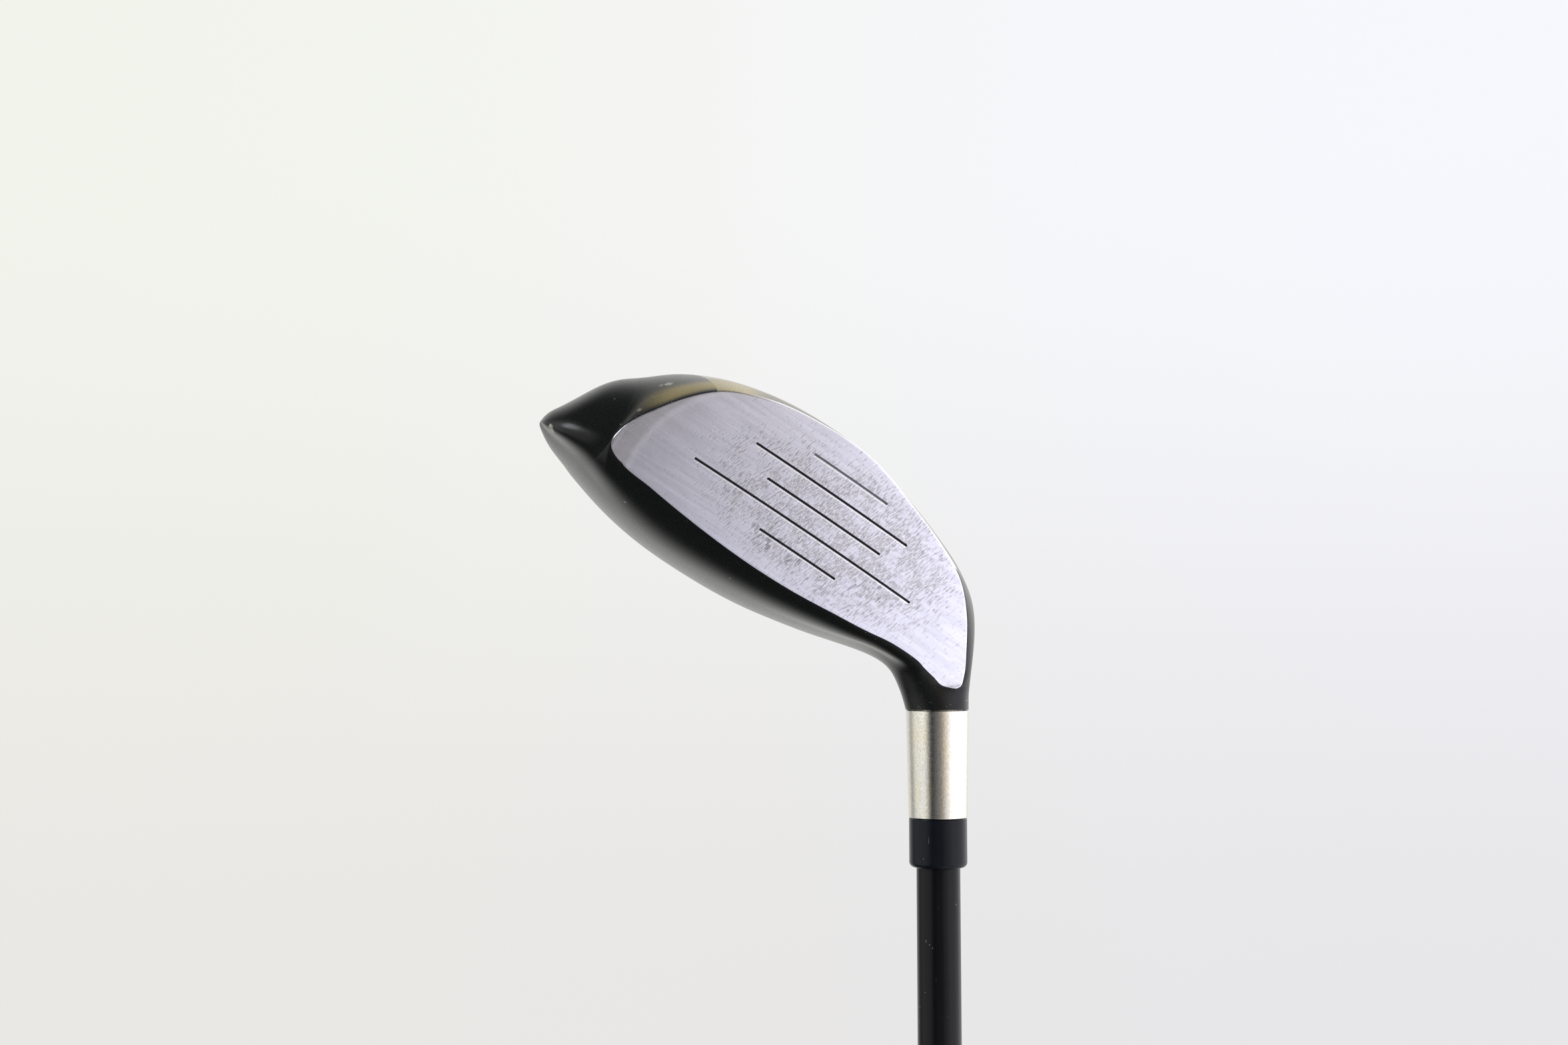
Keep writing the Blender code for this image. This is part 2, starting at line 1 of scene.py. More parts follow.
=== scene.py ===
"""The looks of the left-handed fairway wood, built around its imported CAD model, in metres.

The head is designed in address coordinates in millimetres: t towards the toe, f forward to
the target and u up from the ground, from the point where the shaft's axis meets the ground.
"""

from math import cos, pi, radians, sin, tan

import bmesh
import bpy
import numpy as np
from mathutils import Matrix, Vector

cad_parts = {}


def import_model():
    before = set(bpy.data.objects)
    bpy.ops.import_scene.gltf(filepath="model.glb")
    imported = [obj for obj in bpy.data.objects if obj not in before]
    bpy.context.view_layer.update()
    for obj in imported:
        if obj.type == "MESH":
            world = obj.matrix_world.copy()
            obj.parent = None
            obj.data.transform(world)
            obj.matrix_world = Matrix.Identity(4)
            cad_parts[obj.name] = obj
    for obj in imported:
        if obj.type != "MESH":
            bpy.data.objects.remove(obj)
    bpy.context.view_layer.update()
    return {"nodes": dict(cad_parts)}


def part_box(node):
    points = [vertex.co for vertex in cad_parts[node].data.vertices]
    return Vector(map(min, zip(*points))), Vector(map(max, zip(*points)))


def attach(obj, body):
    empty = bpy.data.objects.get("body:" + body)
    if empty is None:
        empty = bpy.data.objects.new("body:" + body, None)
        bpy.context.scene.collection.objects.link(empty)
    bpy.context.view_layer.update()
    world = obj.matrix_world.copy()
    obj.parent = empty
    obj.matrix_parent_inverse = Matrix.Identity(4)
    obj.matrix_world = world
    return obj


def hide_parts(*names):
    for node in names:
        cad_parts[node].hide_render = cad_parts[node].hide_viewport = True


MM = 0.001
TINY = 1e-9
WELD = 2e-7
DEGENERATE = 1e-7
SHARP_ANGLE = radians(32)

# Club and head, as in the CAD source, in millimetres
CLUB_LENGTH = 1080.0
LIE = radians(59.0)
LOFT = radians(17.0)
NECK_TOP = 44.25
NECK_RADIUS = 6.65
FACE_PROGRESSION = 18.6
FACE_BULGE = 350.0
FACE_MIDDLE = (24.0, 19.0)
SHELL_WALL = 1.8
SLANT_ALLOWANCE = 1.5
FACE_WALL = 2.8
TUBE_RADIUS = 5.55
TUBE_BORE_RADIUS = 4.95
COLLAR_END_RADIUS = 6.2
FERRULE_RADIUS = 6.1
SHAFT_TIP = 21.0
SHAFT_STRAIGHT = 100.0
SHAFT_TIP_RADIUS = 4.6
SHAFT_TAPER = 3.0
SHAFT_WALL = 0.9
CLEARANCE = 0.1

# Score lines: height of the middle of the line, and the ends along t
SCORE_LINES = ((11.6, 14.0, 32.6), (16.0, 5.5, 43.5), (20.4, 9.3, 37.7),
               (24.7, -2.1, 51.9), (29.2, 14.2, 33.2))
SCORE_HALF_WIDTH = 0.24
SCORE_DEPTH = 0.55
SCORE_STEPS = 24
# The groove's profile: how far to each side and how deep, as shares of its half width and depth
SCORE_PROFILE = ((-1.3, -1.0), (1.3, -1.0), (1.0, 0.0), (0.80, 0.7), (0.45, 0.95), (0.0, 1.0),
                 (-0.45, 0.95), (-0.80, 0.7), (-1.0, 0.0))
CUTTER_RISE = 0.3
BLUNT_END = 0.04

# The head's guide sections, from the toe to the top of the neck: the tilt of the section's
# plane, the directions in which its outline reaches the face's lower edge and leaves the upper
# one (degrees from forward towards up), five guide points and how round the section is. The
# face's two edges are (t, lift, u), with the lift in front of the face's own surface; the
# crown's top, the rear ridge and the sole's lowest point are (t, f, u).
SECTIONS = (
    (0, 84, 96, (76.7, -6.0, 30.8), (76.7, -6.0, 30.8),
     (76.4, -9.5, 32.2), (76.7, -16.0, 30.2), (76.0, -9.0, 24.4), 0.7),
    (0, 80, 100, (73.0, -2.5, 30.4), (73.0, -2.5, 30.4),
     (72.6, -8.0, 33.2), (73.0, -23.5, 29.4), (71.9, -9.5, 16.6), 0.4),
    (0, 70, 110, (67.2, 0.0, 29.4), (67.2, 0.0, 29.4),
     (67.0, -7.0, 34.8), (67.5, -31.5, 28.4), (66.8, -10.5, 12.0), 0.2),
    (0, 64, 116, (66.0, 0.0, 25.8), (65.8, 0.0, 31.2),
     (65.9, -7.0, 35.2), (66.3, -33.5, 28.1), (65.6, -10.6, 11.1), 0.2),
    (0, 56, 124, (63.7, 0.0, 21.3), (63.2, 0.0, 32.7),
     (63.5, -7.0, 36.1), (63.0, -38.0, 27.4), (62.5, -11.0, 8.2), 0.1),
    (0, 44, 130, (56.2, 0.0, 12.4), (55.7, 0.0, 33.8),
     (56.0, -7.0, 38.2), (55.5, -46.5, 25.8), (56.0, -11.0, 4.6), 0.0),
    (0, 30, 134, (46.7, 0.0, 8.1), (46.5, 0.0, 34.9),
     (46.5, -7.0, 39.6), (46.0, -52.8, 24.2), (46.0, -10.0, 1.6), 0.0),
    (0, 19, 135, (33.0, 0.0, 5.9), (33.0, 0.0, 35.8),
     (33.0, -7.0, 39.8), (33.0, -56.8, 23.0), (33.0, -8.0, 0.0), 0.0),
    (0, 18, 135, (21.4, 0.0, 6.1), (21.3, 0.0, 35.7),
     (21.3, -7.0, 39.0), (20.0, -57.0, 22.8), (20.0, -7.0, 0.8), 0.0),
    (2, 21, 133, (9.0, 0.0, 9.0), (9.5, 0.0, 34.7),
     (10.0, -6.0, 37.1), (8.0, -54.0, 23.2), (6.0, -6.0, 3.4), 0.0),
    (8, 30, 130, (-1.0, 0.0, 12.0), (2.5, 0.0, 34.0),
     (3.5, -4.5, 35.7), (-0.5, -48.0, 23.8), (-3.5, -5.0, 6.8), 0.1),
    (16, 45, 124, (-8.5, 0.0, 15.2), (-4.0, 0.0, 33.1),
     (-1.2, -3.0, 34.6), (-7.0, -38.5, 24.6), (-11.3, -3.0, 10.6), 0.25),
    (26, 62, 114, (-14.2, 0.0, 20.0), (-10.5, 0.1, 33.0),
     (-6.2, -1.5, 34.2), (-12.2, -26.5, 25.8), (-17.0, -0.8, 14.3), 0.4),
    (40, 70, 106, (-19.0, 0.0, 25.9), (-13.4, 0.1, 33.5),
     (-10.1, -0.5, 35.4), (-15.6, -14.8, 27.8), (-20.9, 0.0, 19.8), 0.6),
    (51, 75, 88, (-21.8, 0.0, 29.9), (-16.3, 0.2, 33.9),
     (-12.0, 0.0, 37.1), (-17.7, -8.4, 31.6), (-24.0, 0.0, 26.0), 0.85),
    (55, 76, 82, (-22.3, 0.5, 31.8), (-18.7, 0.8, 34.3),
     (-13.5, 0.0, 38.2), (-19.2, -7.6, 33.4), (-25.3, 0.0, 28.5), 0.93),
    (57, 77, 77, (-21.6, 1.1, 33.4), (-21.6, 1.1, 33.4),
     (-14.6, 0.0, 39.1), (-20.4, -7.0, 35.0), (-26.4, 0.0, 30.8), 1.0),
)
# At the face's toe end and heel end: the section where its two edges meet, counted from the
# toe's tip, and the one from which they round off
FACE_ENDS = ((3, 5), (17, 15))
TOE_TIP = (78.9, -9.0, 31.0)
CAVITY_SPAN = slice(4, 12)
CAVITY_TIP = (70.5, -13.0, 25.5)
TONGUE_ANGLE = radians(-13.0)
NECK_EDGE_ANGLE = 77
ARCS = 4
# Lengths of the outline's handles as shares of each arc's chord, on the body and on the neck
BODY_HANDLES = ((0.36, 0.36), (0.48, 0.10), (0.14, 0.42), (0.45, 0.20))
NECK_HANDLES = ((0.41, 0.41), (0.39, 0.39), (0.39, 0.39), (0.37, 0.37))
# How finely the head's surface is divided: along it, over the face and over the four arcs
FINE = (240, 44, (28, 34, 40, 34))
COARSE = (24, 10, (5, 11, 12, 10))
EDGE_CROWDING = 1.4
END_STATIONS = 26
TOE_SHARE = 0.12
TOE_CROWDING = 0.012
TOE_FULLNESS = 1.6
# How far along the head the surface is evened out, and how soon that fades beside an edge
EVENING = 6.0
EDGE_HOLD = 3.0
# How far edges are rounded, and the height from which the face's edge is at its sharpest
EDGE_ROUNDING = 0.55
TOE_ROUNDING = 3.0
SHARP_HEIGHT = 6.0
MOST_ROUNDING = 0.05
ROUNDING_STEPS = 11
# The face's thickness on the body and on the tongue, and where along t it changes
PLATE_DEPTH = 1.5
TONGUE_DEPTH = 0.3
TONGUE_SPAN = (-18.0, -8.0)
SEAT_GAP = 0.05
BORE_DEPTH = 5.0

# The pieces on the shaft
TURN_STEPS = 128
COLLAR_BEVEL = 0.15
COLLAR_STEP = 0.02
FERRULE_LIP = 1.1
FERRULE_LIFT = 0.2
# The grip's radii at the butt and the mouth, how its taper bends, and its plain ends
GRIP_RADII = (13.3, 9.9)
GRIP_BEND = 0.85
GRIP_PLAIN_END = 12.0
GRIP_SHRINK = 0.02
GRIP_MOUTH = 1.2
GRIP_MOUTH_GAP = 0.2
TAPE_ROOM = 0.9
GRIP_BANDS = 9
GRIP_STEPS = 180
GRIP_RING_STEP = 0.6
# In each band: the ring groove's span and depth, and where the lozenges lie and how deep
GROOVE_SPAN = (0.6, 2.4)
GROOVE_DEPTH = 0.5
LOZENGE_MARGINS = (4.2, 1.2)
LOZENGES_AROUND = 14
LOZENGE_TURN = 0.9
LOZENGE_DEPTH = 0.28
CAP_TOP = 3.2
CAP_RADIUS = 13.48
CAP_EDGE = 1.1
CAP_RINGS = (9.6, 5.4)
VENT_RADIUS = 1.2
PEG_RADIUS = 5.9

# Marks on the paint: (t, f, u) and how far each reaches, in millimetres
CHIPS = (((62.7, 3.0, 13.0), 0.85), ((64.0, 2.6, 13.9), 0.45), ((69.9, 0.7, 21.6), 0.55),
         ((65.2, 6.8, 22.3), 0.7), ((71.9, -7.4, 17.4), 0.35), ((76.8, -3.9, 32.2), 0.95),
         ((57.3, -0.5, 37.5), 0.3), ((66.8, 6.0, 26.5), 0.4))
# Deeper marks on the face: the two ends of each as (t, u), in millimetres
STROKES = (((30.9, 28.9), (29.2, 32.5)), ((25.3, 29.7), (24.3, 32.4)))
STROKE_WIDTHS = (0.75, 0.35)
# The line where the toe's black paint ends and the sole's bare metal begins
BREAK_T = 57.8
BREAK_SLOPE = -0.17
# The other borders of the bare metal: at the heel along t, in height, and towards the rear
BARE_HEEL_T = -11.3
BARE_HEIGHT = 14.9
BARE_REAR = 37.9
# The face's scuffed area, as the middle and the reach along t and along u, and the scuffs' lean
SCUFF_AREA = ((21.0, 34.0), (21.5, 15.5))
SCUFF_LEAN = radians(19.0)
# The line where the face rolls off towards the toe: an arc in the plane of (t, u)
ROLL_CENTRE = (40.0, 28.5)
ROLL_RADIUS = 22.1


# ---- Head surface ----

def to_part(points):
    """Address coordinates in millimetres to the part's frame in metres."""
    t, f, u = np.moveaxis(np.asarray(points, float), -1, 0) * MM
    x = -t * sin(LIE) - u * cos(LIE)
    z = CLUB_LENGTH * MM + t * cos(LIE) - u * sin(LIE)
    return np.stack([x, -f, z], axis=-1)


def axis_z(distance):
    """Z of a point on the shaft's axis, from its distance to the ground in millimetres."""
    return (CLUB_LENGTH - distance) * MM


def on_axis(distance, v=0.0, f=0.0):
    """Address point beside the shaft's axis: v is across it, on the toe's side."""
    return np.array([-distance * cos(LIE) + v * sin(LIE), f, distance * sin(LIE) + v * cos(LIE)])


def face_surface(t, u):
    """How far forward the lofted face is: a plane with bulge and roll."""
    bow = (t - FACE_MIDDLE[0]) ** 2 + (u - FACE_MIDDLE[1]) ** 2
    return FACE_PROGRESSION - u * tan(LOFT) - bow / (2 * FACE_BULGE)


def neck_section():
    """The last guide section, a circle where the collar starts."""
    def rim(angle):
        return on_axis(NECK_TOP, NECK_RADIUS * sin(angle), NECK_RADIUS * cos(angle))

    front = rim(TONGUE_ANGLE)
    front[1] -= face_surface(front[0], front[2])
    crown, ridge, sole = rim(pi / 2), rim(pi), rim(-pi / 2)
    return (LIE * 180 / pi, NECK_EDGE_ANGLE, NECK_EDGE_ANGLE, front, front, crown, ridge, sole, 1.0)


def outline_controls(section):
    """Bezier points of one section: four arcs from the face's top edge round to its lower."""
    tilt, lower_angle, upper_angle, lower, upper, crown, ridge, sole, roundness = section
    across = np.array([sin(radians(tilt)), 0.0, cos(radians(tilt))])
    forward = np.array([0.0, 1.0, 0.0])
    lower = np.array(lower, float)
    upper = np.array(upper, float)
    for edge in (lower, upper):
        edge[1] += face_surface(edge[0], edge[2])

    def direction(angle):
        return cos(radians(angle)) * forward + sin(radians(angle)) * across

    stops = [upper, np.array(crown), np.array(ridge), np.array(sole), lower]
    ways = [direction(upper_angle), -forward, -across, forward, direction(lower_angle)]
    points = [stops[0]]
    for arc in range(ARCS):
        start, end = stops[arc], stops[arc + 1]
        chord = np.linalg.norm(end - start)
        body, neck = BODY_HANDLES[arc], NECK_HANDLES[arc]
        leave = body[0] + (neck[0] - body[0]) * roundness
        reach = body[1] + (neck[1] - body[1]) * roundness
        points += [start + ways[arc] * leave * chord, end - ways[arc + 1] * reach * chord, end]
    return np.array(points)


def smooth_rows(rows, knots, at):
    """Rows of points joined along the head by a cubic curve with averaged slopes."""
    steps = np.diff(knots)[:, None, None]
    slopes = np.diff(rows, axis=0) / steps
    tangents = np.empty_like(rows)
    tangents[1:-1] = (slopes[:-1] * steps[1:] + slopes[1:] * steps[:-1]) / (steps[1:] + steps[:-1])
    tangents[0] = slopes[0] * TOE_FULLNESS
    tangents[0, :, 0] = 0.0
    tangents[-1] = slopes[-1]
    index = np.clip(np.searchsorted(knots, at, side="right") - 1, 0, len(knots) - 2)
    span = (knots[index + 1] - knots[index])[:, None, None]
    x = ((at - knots[index]) / (knots[index + 1] - knots[index]))[:, None, None]
    return ((1 + 2 * x) * (1 - x) ** 2 * rows[index] + x * (1 - x) ** 2 * span * tangents[index]
            + x * x * (3 - 2 * x) * rows[index + 1]
            + x * x * (x - 1) * span * tangents[index + 1])


def even_out(grid, at, reaches, beyond_face):
    """Evens a surface out along the head, over each column's own reach in millimetres.

    Beyond the face's ends every column's reach is at least the distance from that end.
    """
    apart = np.abs(at[:, None] - at)
    spacing = np.gradient(at)
    to_end = np.minimum(at - at[0], at[-1] - at)
    even = grid.copy()
    for column, reach in enumerate(reaches):
        near = np.minimum(np.maximum(reach, beyond_face), to_end)[:, None] + TINY
        weights = spacing * (1 + np.cos(pi * np.clip(apart / near, 0, 1)))
        even[:, column] = weights @ grid[:, column] / weights.sum(axis=1)[:, None]
    return even


def column_shares(face_count, arc_counts):
    """Where the columns lie on the face and on each arc, closer together beside an edge."""
    face = 0.5 - 0.5 * np.cos(pi * np.linspace(0, 1, face_count + 1)[:-1])
    arcs = [np.linspace(0, 1, count + 1)[:-1] for count in arc_counts]
    arcs[0] = arcs[0] ** EDGE_CROWDING
    arcs[-1] = 1 - (1 - arcs[-1]) ** EDGE_CROWDING
    return face, arcs


def stations_along(knots, face_ends, stations):
    """Distances along the head: even ones, and finer ones where the face's two ends round off."""
    share = np.linspace(0, 1, stations)
    at = knots[-1] * (share - TOE_CROWDING * np.sin(pi * np.clip(share / TOE_SHARE, 0, 1)))
    for end, beside in face_ends:
        turn = np.cos(np.linspace(0, pi / 2, END_STATIONS))
        finer = knots[end] + (knots[beside] - knots[end]) * (1 - turn)
        low, high = sorted((knots[end], knots[beside]))
        at = np.concatenate([at[(at < low - TINY) | (at > high + TINY)], finer])
    return np.unique(at)


def surface_rows(sections, tip, face_ends, fineness):
    """Rows of points over guide sections that close in a rounded tip at the toe's end."""
    stations, face_count, arc_counts = fineness
    closed = np.tile(tip, (3 * ARCS + 1, 1))
    controls = np.array([closed] + [outline_controls(section) for section in sections])
    middles = controls[:, 3::3]
    jumps = np.linalg.norm(np.diff(middles, axis=0), axis=2).mean(axis=1)
    knots = np.concatenate([[0.0], np.cumsum(jumps)])
    at = stations_along(knots, face_ends, stations)
    rows = smooth_rows(controls, knots, at)
    middle = (rows[:, 0] + rows[:, -1]) / 2
    half = (rows[:, 0] - rows[:, -1]) / 2
    for end, beside in face_ends:
        rounding = np.clip((at - knots[beside]) / (knots[end] - knots[beside]), 0, 1)
        side = (controls[beside, 0] - controls[beside, -1]) / 2
        ending = rounding > 0
        half[ending] = side * np.sqrt(1 - rounding[ending])[:, None]
    rows[:, 1] += middle + half - rows[:, 0]
    rows[:, -2] += middle - half - rows[:, -1]
    rows[:, 0] = middle + half
    rows[:, -1] = middle - half
    face_shares, arc_shares = column_shares(face_count, arc_counts)
    height = np.linalg.norm(rows[:, 0] - rows[:, -1], axis=1)
    columns, reaches = [], []
    for x in face_shares:
        point = rows[:, -1] * (1 - x) + rows[:, 0] * x
        point[:, 1] += height ** 2 / (2 * FACE_BULGE) * x * (1 - x)
        columns.append(point)
        reaches.append(0.0)
    for arc, shares in enumerate(arc_shares):
        a, b, c, d = (rows[:, 3 * arc + k] for k in range(4))
        for x in shares:
            columns.append((1 - x) ** 3 * a + 3 * x * (1 - x) ** 2 * b
                           + 3 * x * x * (1 - x) * c + x ** 3 * d)
            from_edge = {0: x, ARCS - 1: 1 - x}.get(arc, 1.0)
            reaches.append(EVENING * min(1.0, EDGE_HOLD * from_edge))
    beyond = np.zeros_like(at)
    for end, beside in face_ends:
        way = np.sign(knots[end] - knots[beside])
        beyond += np.clip((at - knots[end]) * way, 0, EVENING)
    return even_out(np.stack(columns, axis=1), at, reaches, beyond)


def round_edges(rings, reach):
    """Rounds the corners of every ring: a point becomes an average of the ring beside it."""
    steps = np.linspace(-1, 1, ROUNDING_STEPS)
    weights = np.cos(steps * pi / 2) ** 2
    weights /= weights.sum()
    rounded = rings.copy()
    for index, ring in enumerate(rings):
        loop = np.vstack([ring, ring[:1]])
        length = np.concatenate([[0.0], np.cumsum(np.linalg.norm(np.diff(loop, axis=0), axis=1))])
        if length[-1] < TINY:
            continue
        reached = min(reach[index], MOST_ROUNDING * length[-1])
        places = (length[:-1, None] + steps * reached) % length[-1]
        for axis in range(3):
            rounded[index, :, axis] = np.interp(places, length, loop[:, axis]) @ weights
    return rounded


def head_rows():
    """The head's outer surface from toe to neck, and the face's first and last station."""
    rows = surface_rows(SECTIONS + (neck_section(),), TOE_TIP, FACE_ENDS, FINE)
    height = np.linalg.norm(rows[:, 0] - rows[:, FINE[1]], axis=1)
    spanned = np.flatnonzero(height > TINY)
    first, last = spanned[0] - 1, spanned[-1] + 1
    on_toe = np.arange(len(rows)) < len(rows) // 2
    sharpness = np.clip(height / SHARP_HEIGHT, 0, 1)
    toe_reach = TOE_ROUNDING + (EDGE_ROUNDING - TOE_ROUNDING) * sharpness
    reach = np.where(on_toe, toe_reach, EDGE_ROUNDING)
    return round_edges(rows, reach), first, last


def cavity_rows():
    """The hollow inside the shell: guide sections of the body moved in by the wall."""
    moved = []
    for tilt, low, high, lower, upper, crown, ridge, sole, roundness in SECTIONS[CAVITY_SPAN]:
        moved.append((tilt, low, high,
                      (lower[0], -FACE_WALL, lower[2] + SLANT_ALLOWANCE * SHELL_WALL),
                      (upper[0], -FACE_WALL, upper[2] - SHELL_WALL),
                      (crown[0], crown[1], crown[2] - SHELL_WALL),
                      (ridge[0], ridge[1] + SLANT_ALLOWANCE * SHELL_WALL, ridge[2]),
                      (sole[0], sole[1], sole[2] + SHELL_WALL), roundness))
    return surface_rows(moved, CAVITY_TIP, (), COARSE)


# ---- Meshes ----

def mesh_from_faces(name, points, faces):
    """A mesh object whose coincident points are welded and whose faces point out."""
    mesh = bpy.data.meshes.new(name)
    mesh.from_pydata([tuple(point) for point in points], [], faces)
    shape = bmesh.new()
    shape.from_mesh(mesh)
    bmesh.ops.remove_doubles(shape, verts=shape.verts, dist=WELD)
    bmesh.ops.dissolve_degenerate(shape, edges=shape.edges, dist=DEGENERATE)
    bmesh.ops.recalc_face_normals(shape, faces=shape.faces)
    shape.to_mesh(mesh)
    shape.free()
    item = bpy.data.objects.new(name, mesh)
    bpy.context.scene.collection.objects.link(item)
    return item


def grid_faces(rows, columns, wrap, offset=0, flip=False):
    """Quads of a grid of points, whose columns may close into rings."""
    faces = []
    for i in range(rows - 1):
        for k in range(columns if wrap else columns - 1):
            j = (k + 1) % columns
            quad = (i * columns + k, i * columns + j, (i + 1) * columns + j, (i + 1) * columns + k)
            faces.append(tuple(offset + corner for corner in (quad[::-1] if flip else quad)))
    return faces


def ring_body(name, rows):
    """A closed body from rings of points in the part's frame, capped at both ends."""
    count, around = rows.shape[:2]
    faces = grid_faces(count, around, True)
    faces += [tuple(range(around))[::-1], tuple((count - 1) * around + k for k in range(around))]
    return mesh_from_faces(name, rows.reshape(-1, 3), faces)


def turned(name, profile, steps=TURN_STEPS):
    """A body turned round Z from a closed profile of (radius, z) in metres."""
    angles = np.linspace(0, 2 * pi, steps, endpoint=False)
    profile = np.array(profile)
    points = np.stack([profile[:, :1] * np.cos(angles), profile[:, :1] * np.sin(angles),
                       np.repeat(profile[:, 1:], steps, axis=1)], axis=-1)
    points = np.concatenate([points, points[:1]])
    return mesh_from_faces(name, points.reshape(-1, 3), grid_faces(len(points), steps, True))


def cut(item, cutter):
    """Takes cutter's volume out of item and removes the cutter."""
    boolean = item.modifiers.new("cut", "BOOLEAN")
    boolean.operation = "DIFFERENCE"
    boolean.solver = "EXACT"
    boolean.object = cutter
    bpy.context.view_layer.update()
    evaluated = item.evaluated_get(bpy.context.evaluated_depsgraph_get())
    made = bpy.data.meshes.new_from_object(evaluated)
    item.modifiers.clear()
    item.data = made
    bpy.data.objects.remove(cutter, do_unlink=True)


def finish_piece(item, finish, slot, *nodes):
    """Gives a piece its material and shading, and puts it in the place of its CAD nodes."""
    item.data.materials.clear()
    item.data.materials.append(finish)
    item.data.shade_smooth()
    item.data.set_sharp_from_angle(angle=SHARP_ANGLE)
    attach(item, "root")
    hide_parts(*nodes)


def arc(centre, radius, start, end, count):
    """Points of (radius, z) on an arc of a turned profile, between two angles in degrees."""
    angles = np.radians(np.linspace(start, end, count))
    return [(centre[0] + radius * cos(a), centre[1] + radius * sin(a)) for a in angles]


# ---- Pieces ----

def plate_depth(rows):
    """How thick the face is at each station: thin on the tongue, which lies on the neck."""
    start, end = TONGUE_SPAN
    share = np.clip((rows[:, 0, 0] - start) / (end - start), 0, 1)
    return TONGUE_DEPTH + (PLATE_DEPTH - TONGUE_DEPTH) * share * share * (3 - 2 * share)


def sunk(patch, depth):
    """The face's patch moved straight back into the head."""
    back = np.array([0.0, -cos(LOFT), -sin(LOFT)])
    return patch + depth[:, None, None] * back


def head_shell(rows, first, last):
    """The hollow painted head, with a seat for the face and a bore for the hosel tube."""
    columns = rows.shape[1]
    face_columns = FINE[1]
    faces = [face for index, face in enumerate(grid_faces(len(rows), columns, True))
             if not (first <= index // columns < last and index % columns < face_columns)]
    faces.append(tuple((len(rows) - 1) * columns + k for k in range(columns)))
    patch = rows[first:last + 1, :face_columns + 1]
    seat = sunk(patch, plate_depth(patch) + SEAT_GAP)
    offset = rows.shape[0] * columns
    wide = face_columns + 1
    faces += grid_faces(len(seat), wide, False, offset)
    for i in range(len(seat) - 1):
        for k in (0, face_columns):
            top, low = (first + i) * columns + k, offset + i * wide + k
            wall = (top, top + columns, low + wide, low)
            faces.append(wall if k == 0 else wall[::-1])
    points = np.concatenate([rows.reshape(-1, 3), seat.reshape(-1, 3)])
    shell = mesh_from_faces("head_shell", to_part(points), faces)
    cut(shell, ring_body("hollow", to_part(cavity_rows())))
    radius = (TUBE_RADIUS + CLEARANCE) * MM
    start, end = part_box("hosel_tube")[1].z + MM, axis_z(NECK_TOP + BORE_DEPTH)
    cut(shell, turned("bore", [(radius, start), (radius, end), (0.0, end), (0.0, start)], 64))
    return shell


def score_cutter(height, heel, toe):
    """The cutter for one score line: a slanted channel with round ends, bent with the face."""
    inward = np.linspace(0, 1, 7)
    width = np.sqrt(1 - (1 - inward) ** 2) * (1 - BLUNT_END) + BLUNT_END
    along = np.concatenate([toe - inward * SCORE_HALF_WIDTH,
                            np.linspace(toe - 1.0, heel + 1.0, SCORE_STEPS),
                            (heel + inward * SCORE_HALF_WIDTH)[::-1]])
    widths = np.concatenate([width, np.ones(SCORE_STEPS), width[::-1]]) * SCORE_HALF_WIDTH
    rows = []
    for side, depth in SCORE_PROFILE:
        u = height + side * widths
        sink = depth * (SCORE_DEPTH if depth > 0 else CUTTER_RISE)
        rows.append(np.stack([along, face_surface(along, u) - sink, u], axis=1))
    return ring_body("score_cutter", to_part(np.stack(rows, axis=1)))


def face_piece(rows, first, last):
    """The brushed face with its tongue, and the score lines cut into it."""
    patch = rows[first:last + 1, :FINE[1] + 1]
    back = sunk(patch, plate_depth(patch))
    count, wide = patch.shape[:2]
    offset = count * wide
    faces = grid_faces(count, wide, False) + grid_faces(count, wide, False, offset, flip=True)
    for i in range(count - 1):
        for k in (0, wide - 1):
            top, low = i * wide + k, offset + i * wide + k
            wall = (top, low, low + wide, top + wide)
            faces.append(wall if k == 0 else wall[::-1])
    points = np.concatenate([patch.reshape(-1, 3), back.reshape(-1, 3)])
    plate = mesh_from_faces("striking_face", to_part(points), faces)
    for height, heel, toe in SCORE_LINES:
        cut(plate, score_cutter(height, heel, toe))
    return plate


def collar():
    """The steel hosel tube, whose wider length shows between the neck and the ferrule."""
    low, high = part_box("hosel_tube")
    neck, end = axis_z(NECK_TOP) - CLEARANCE * MM, low.z
    tube, bore, bevel = TUBE_RADIUS * MM, TUBE_BORE_RADIUS * MM, COLLAR_BEVEL * MM
    wide, narrow = (NECK_RADIUS - COLLAR_STEP) * MM, COLLAR_END_RADIUS * MM
    profile = [(bore, end), (bore, high.z), (tube, high.z), (tube, neck), (wide - bevel, neck),
               (wide, neck - bevel)]
    profile += [(wide + (narrow - wide) * x, neck - bevel + (end + 2 * bevel - neck) * x)
                for x in np.linspace(0, 1, 12)[1:]]
    profile += [(narrow - bevel, end)]
    return turned("hosel_collar", profile)


def shaft_radius(z):
    """The shaft's outer radius: straight at the tip, then an even taper to the butt."""
    taper_start, butt = axis_z(SHAFT_TIP) - SHAFT_STRAIGHT * MM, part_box("shaft")[0].z
    share = max(0.0, min(1.0, (taper_start - z) / (taper_start - butt)))
    return (SHAFT_TIP_RADIUS + SHAFT_TAPER * share) * MM


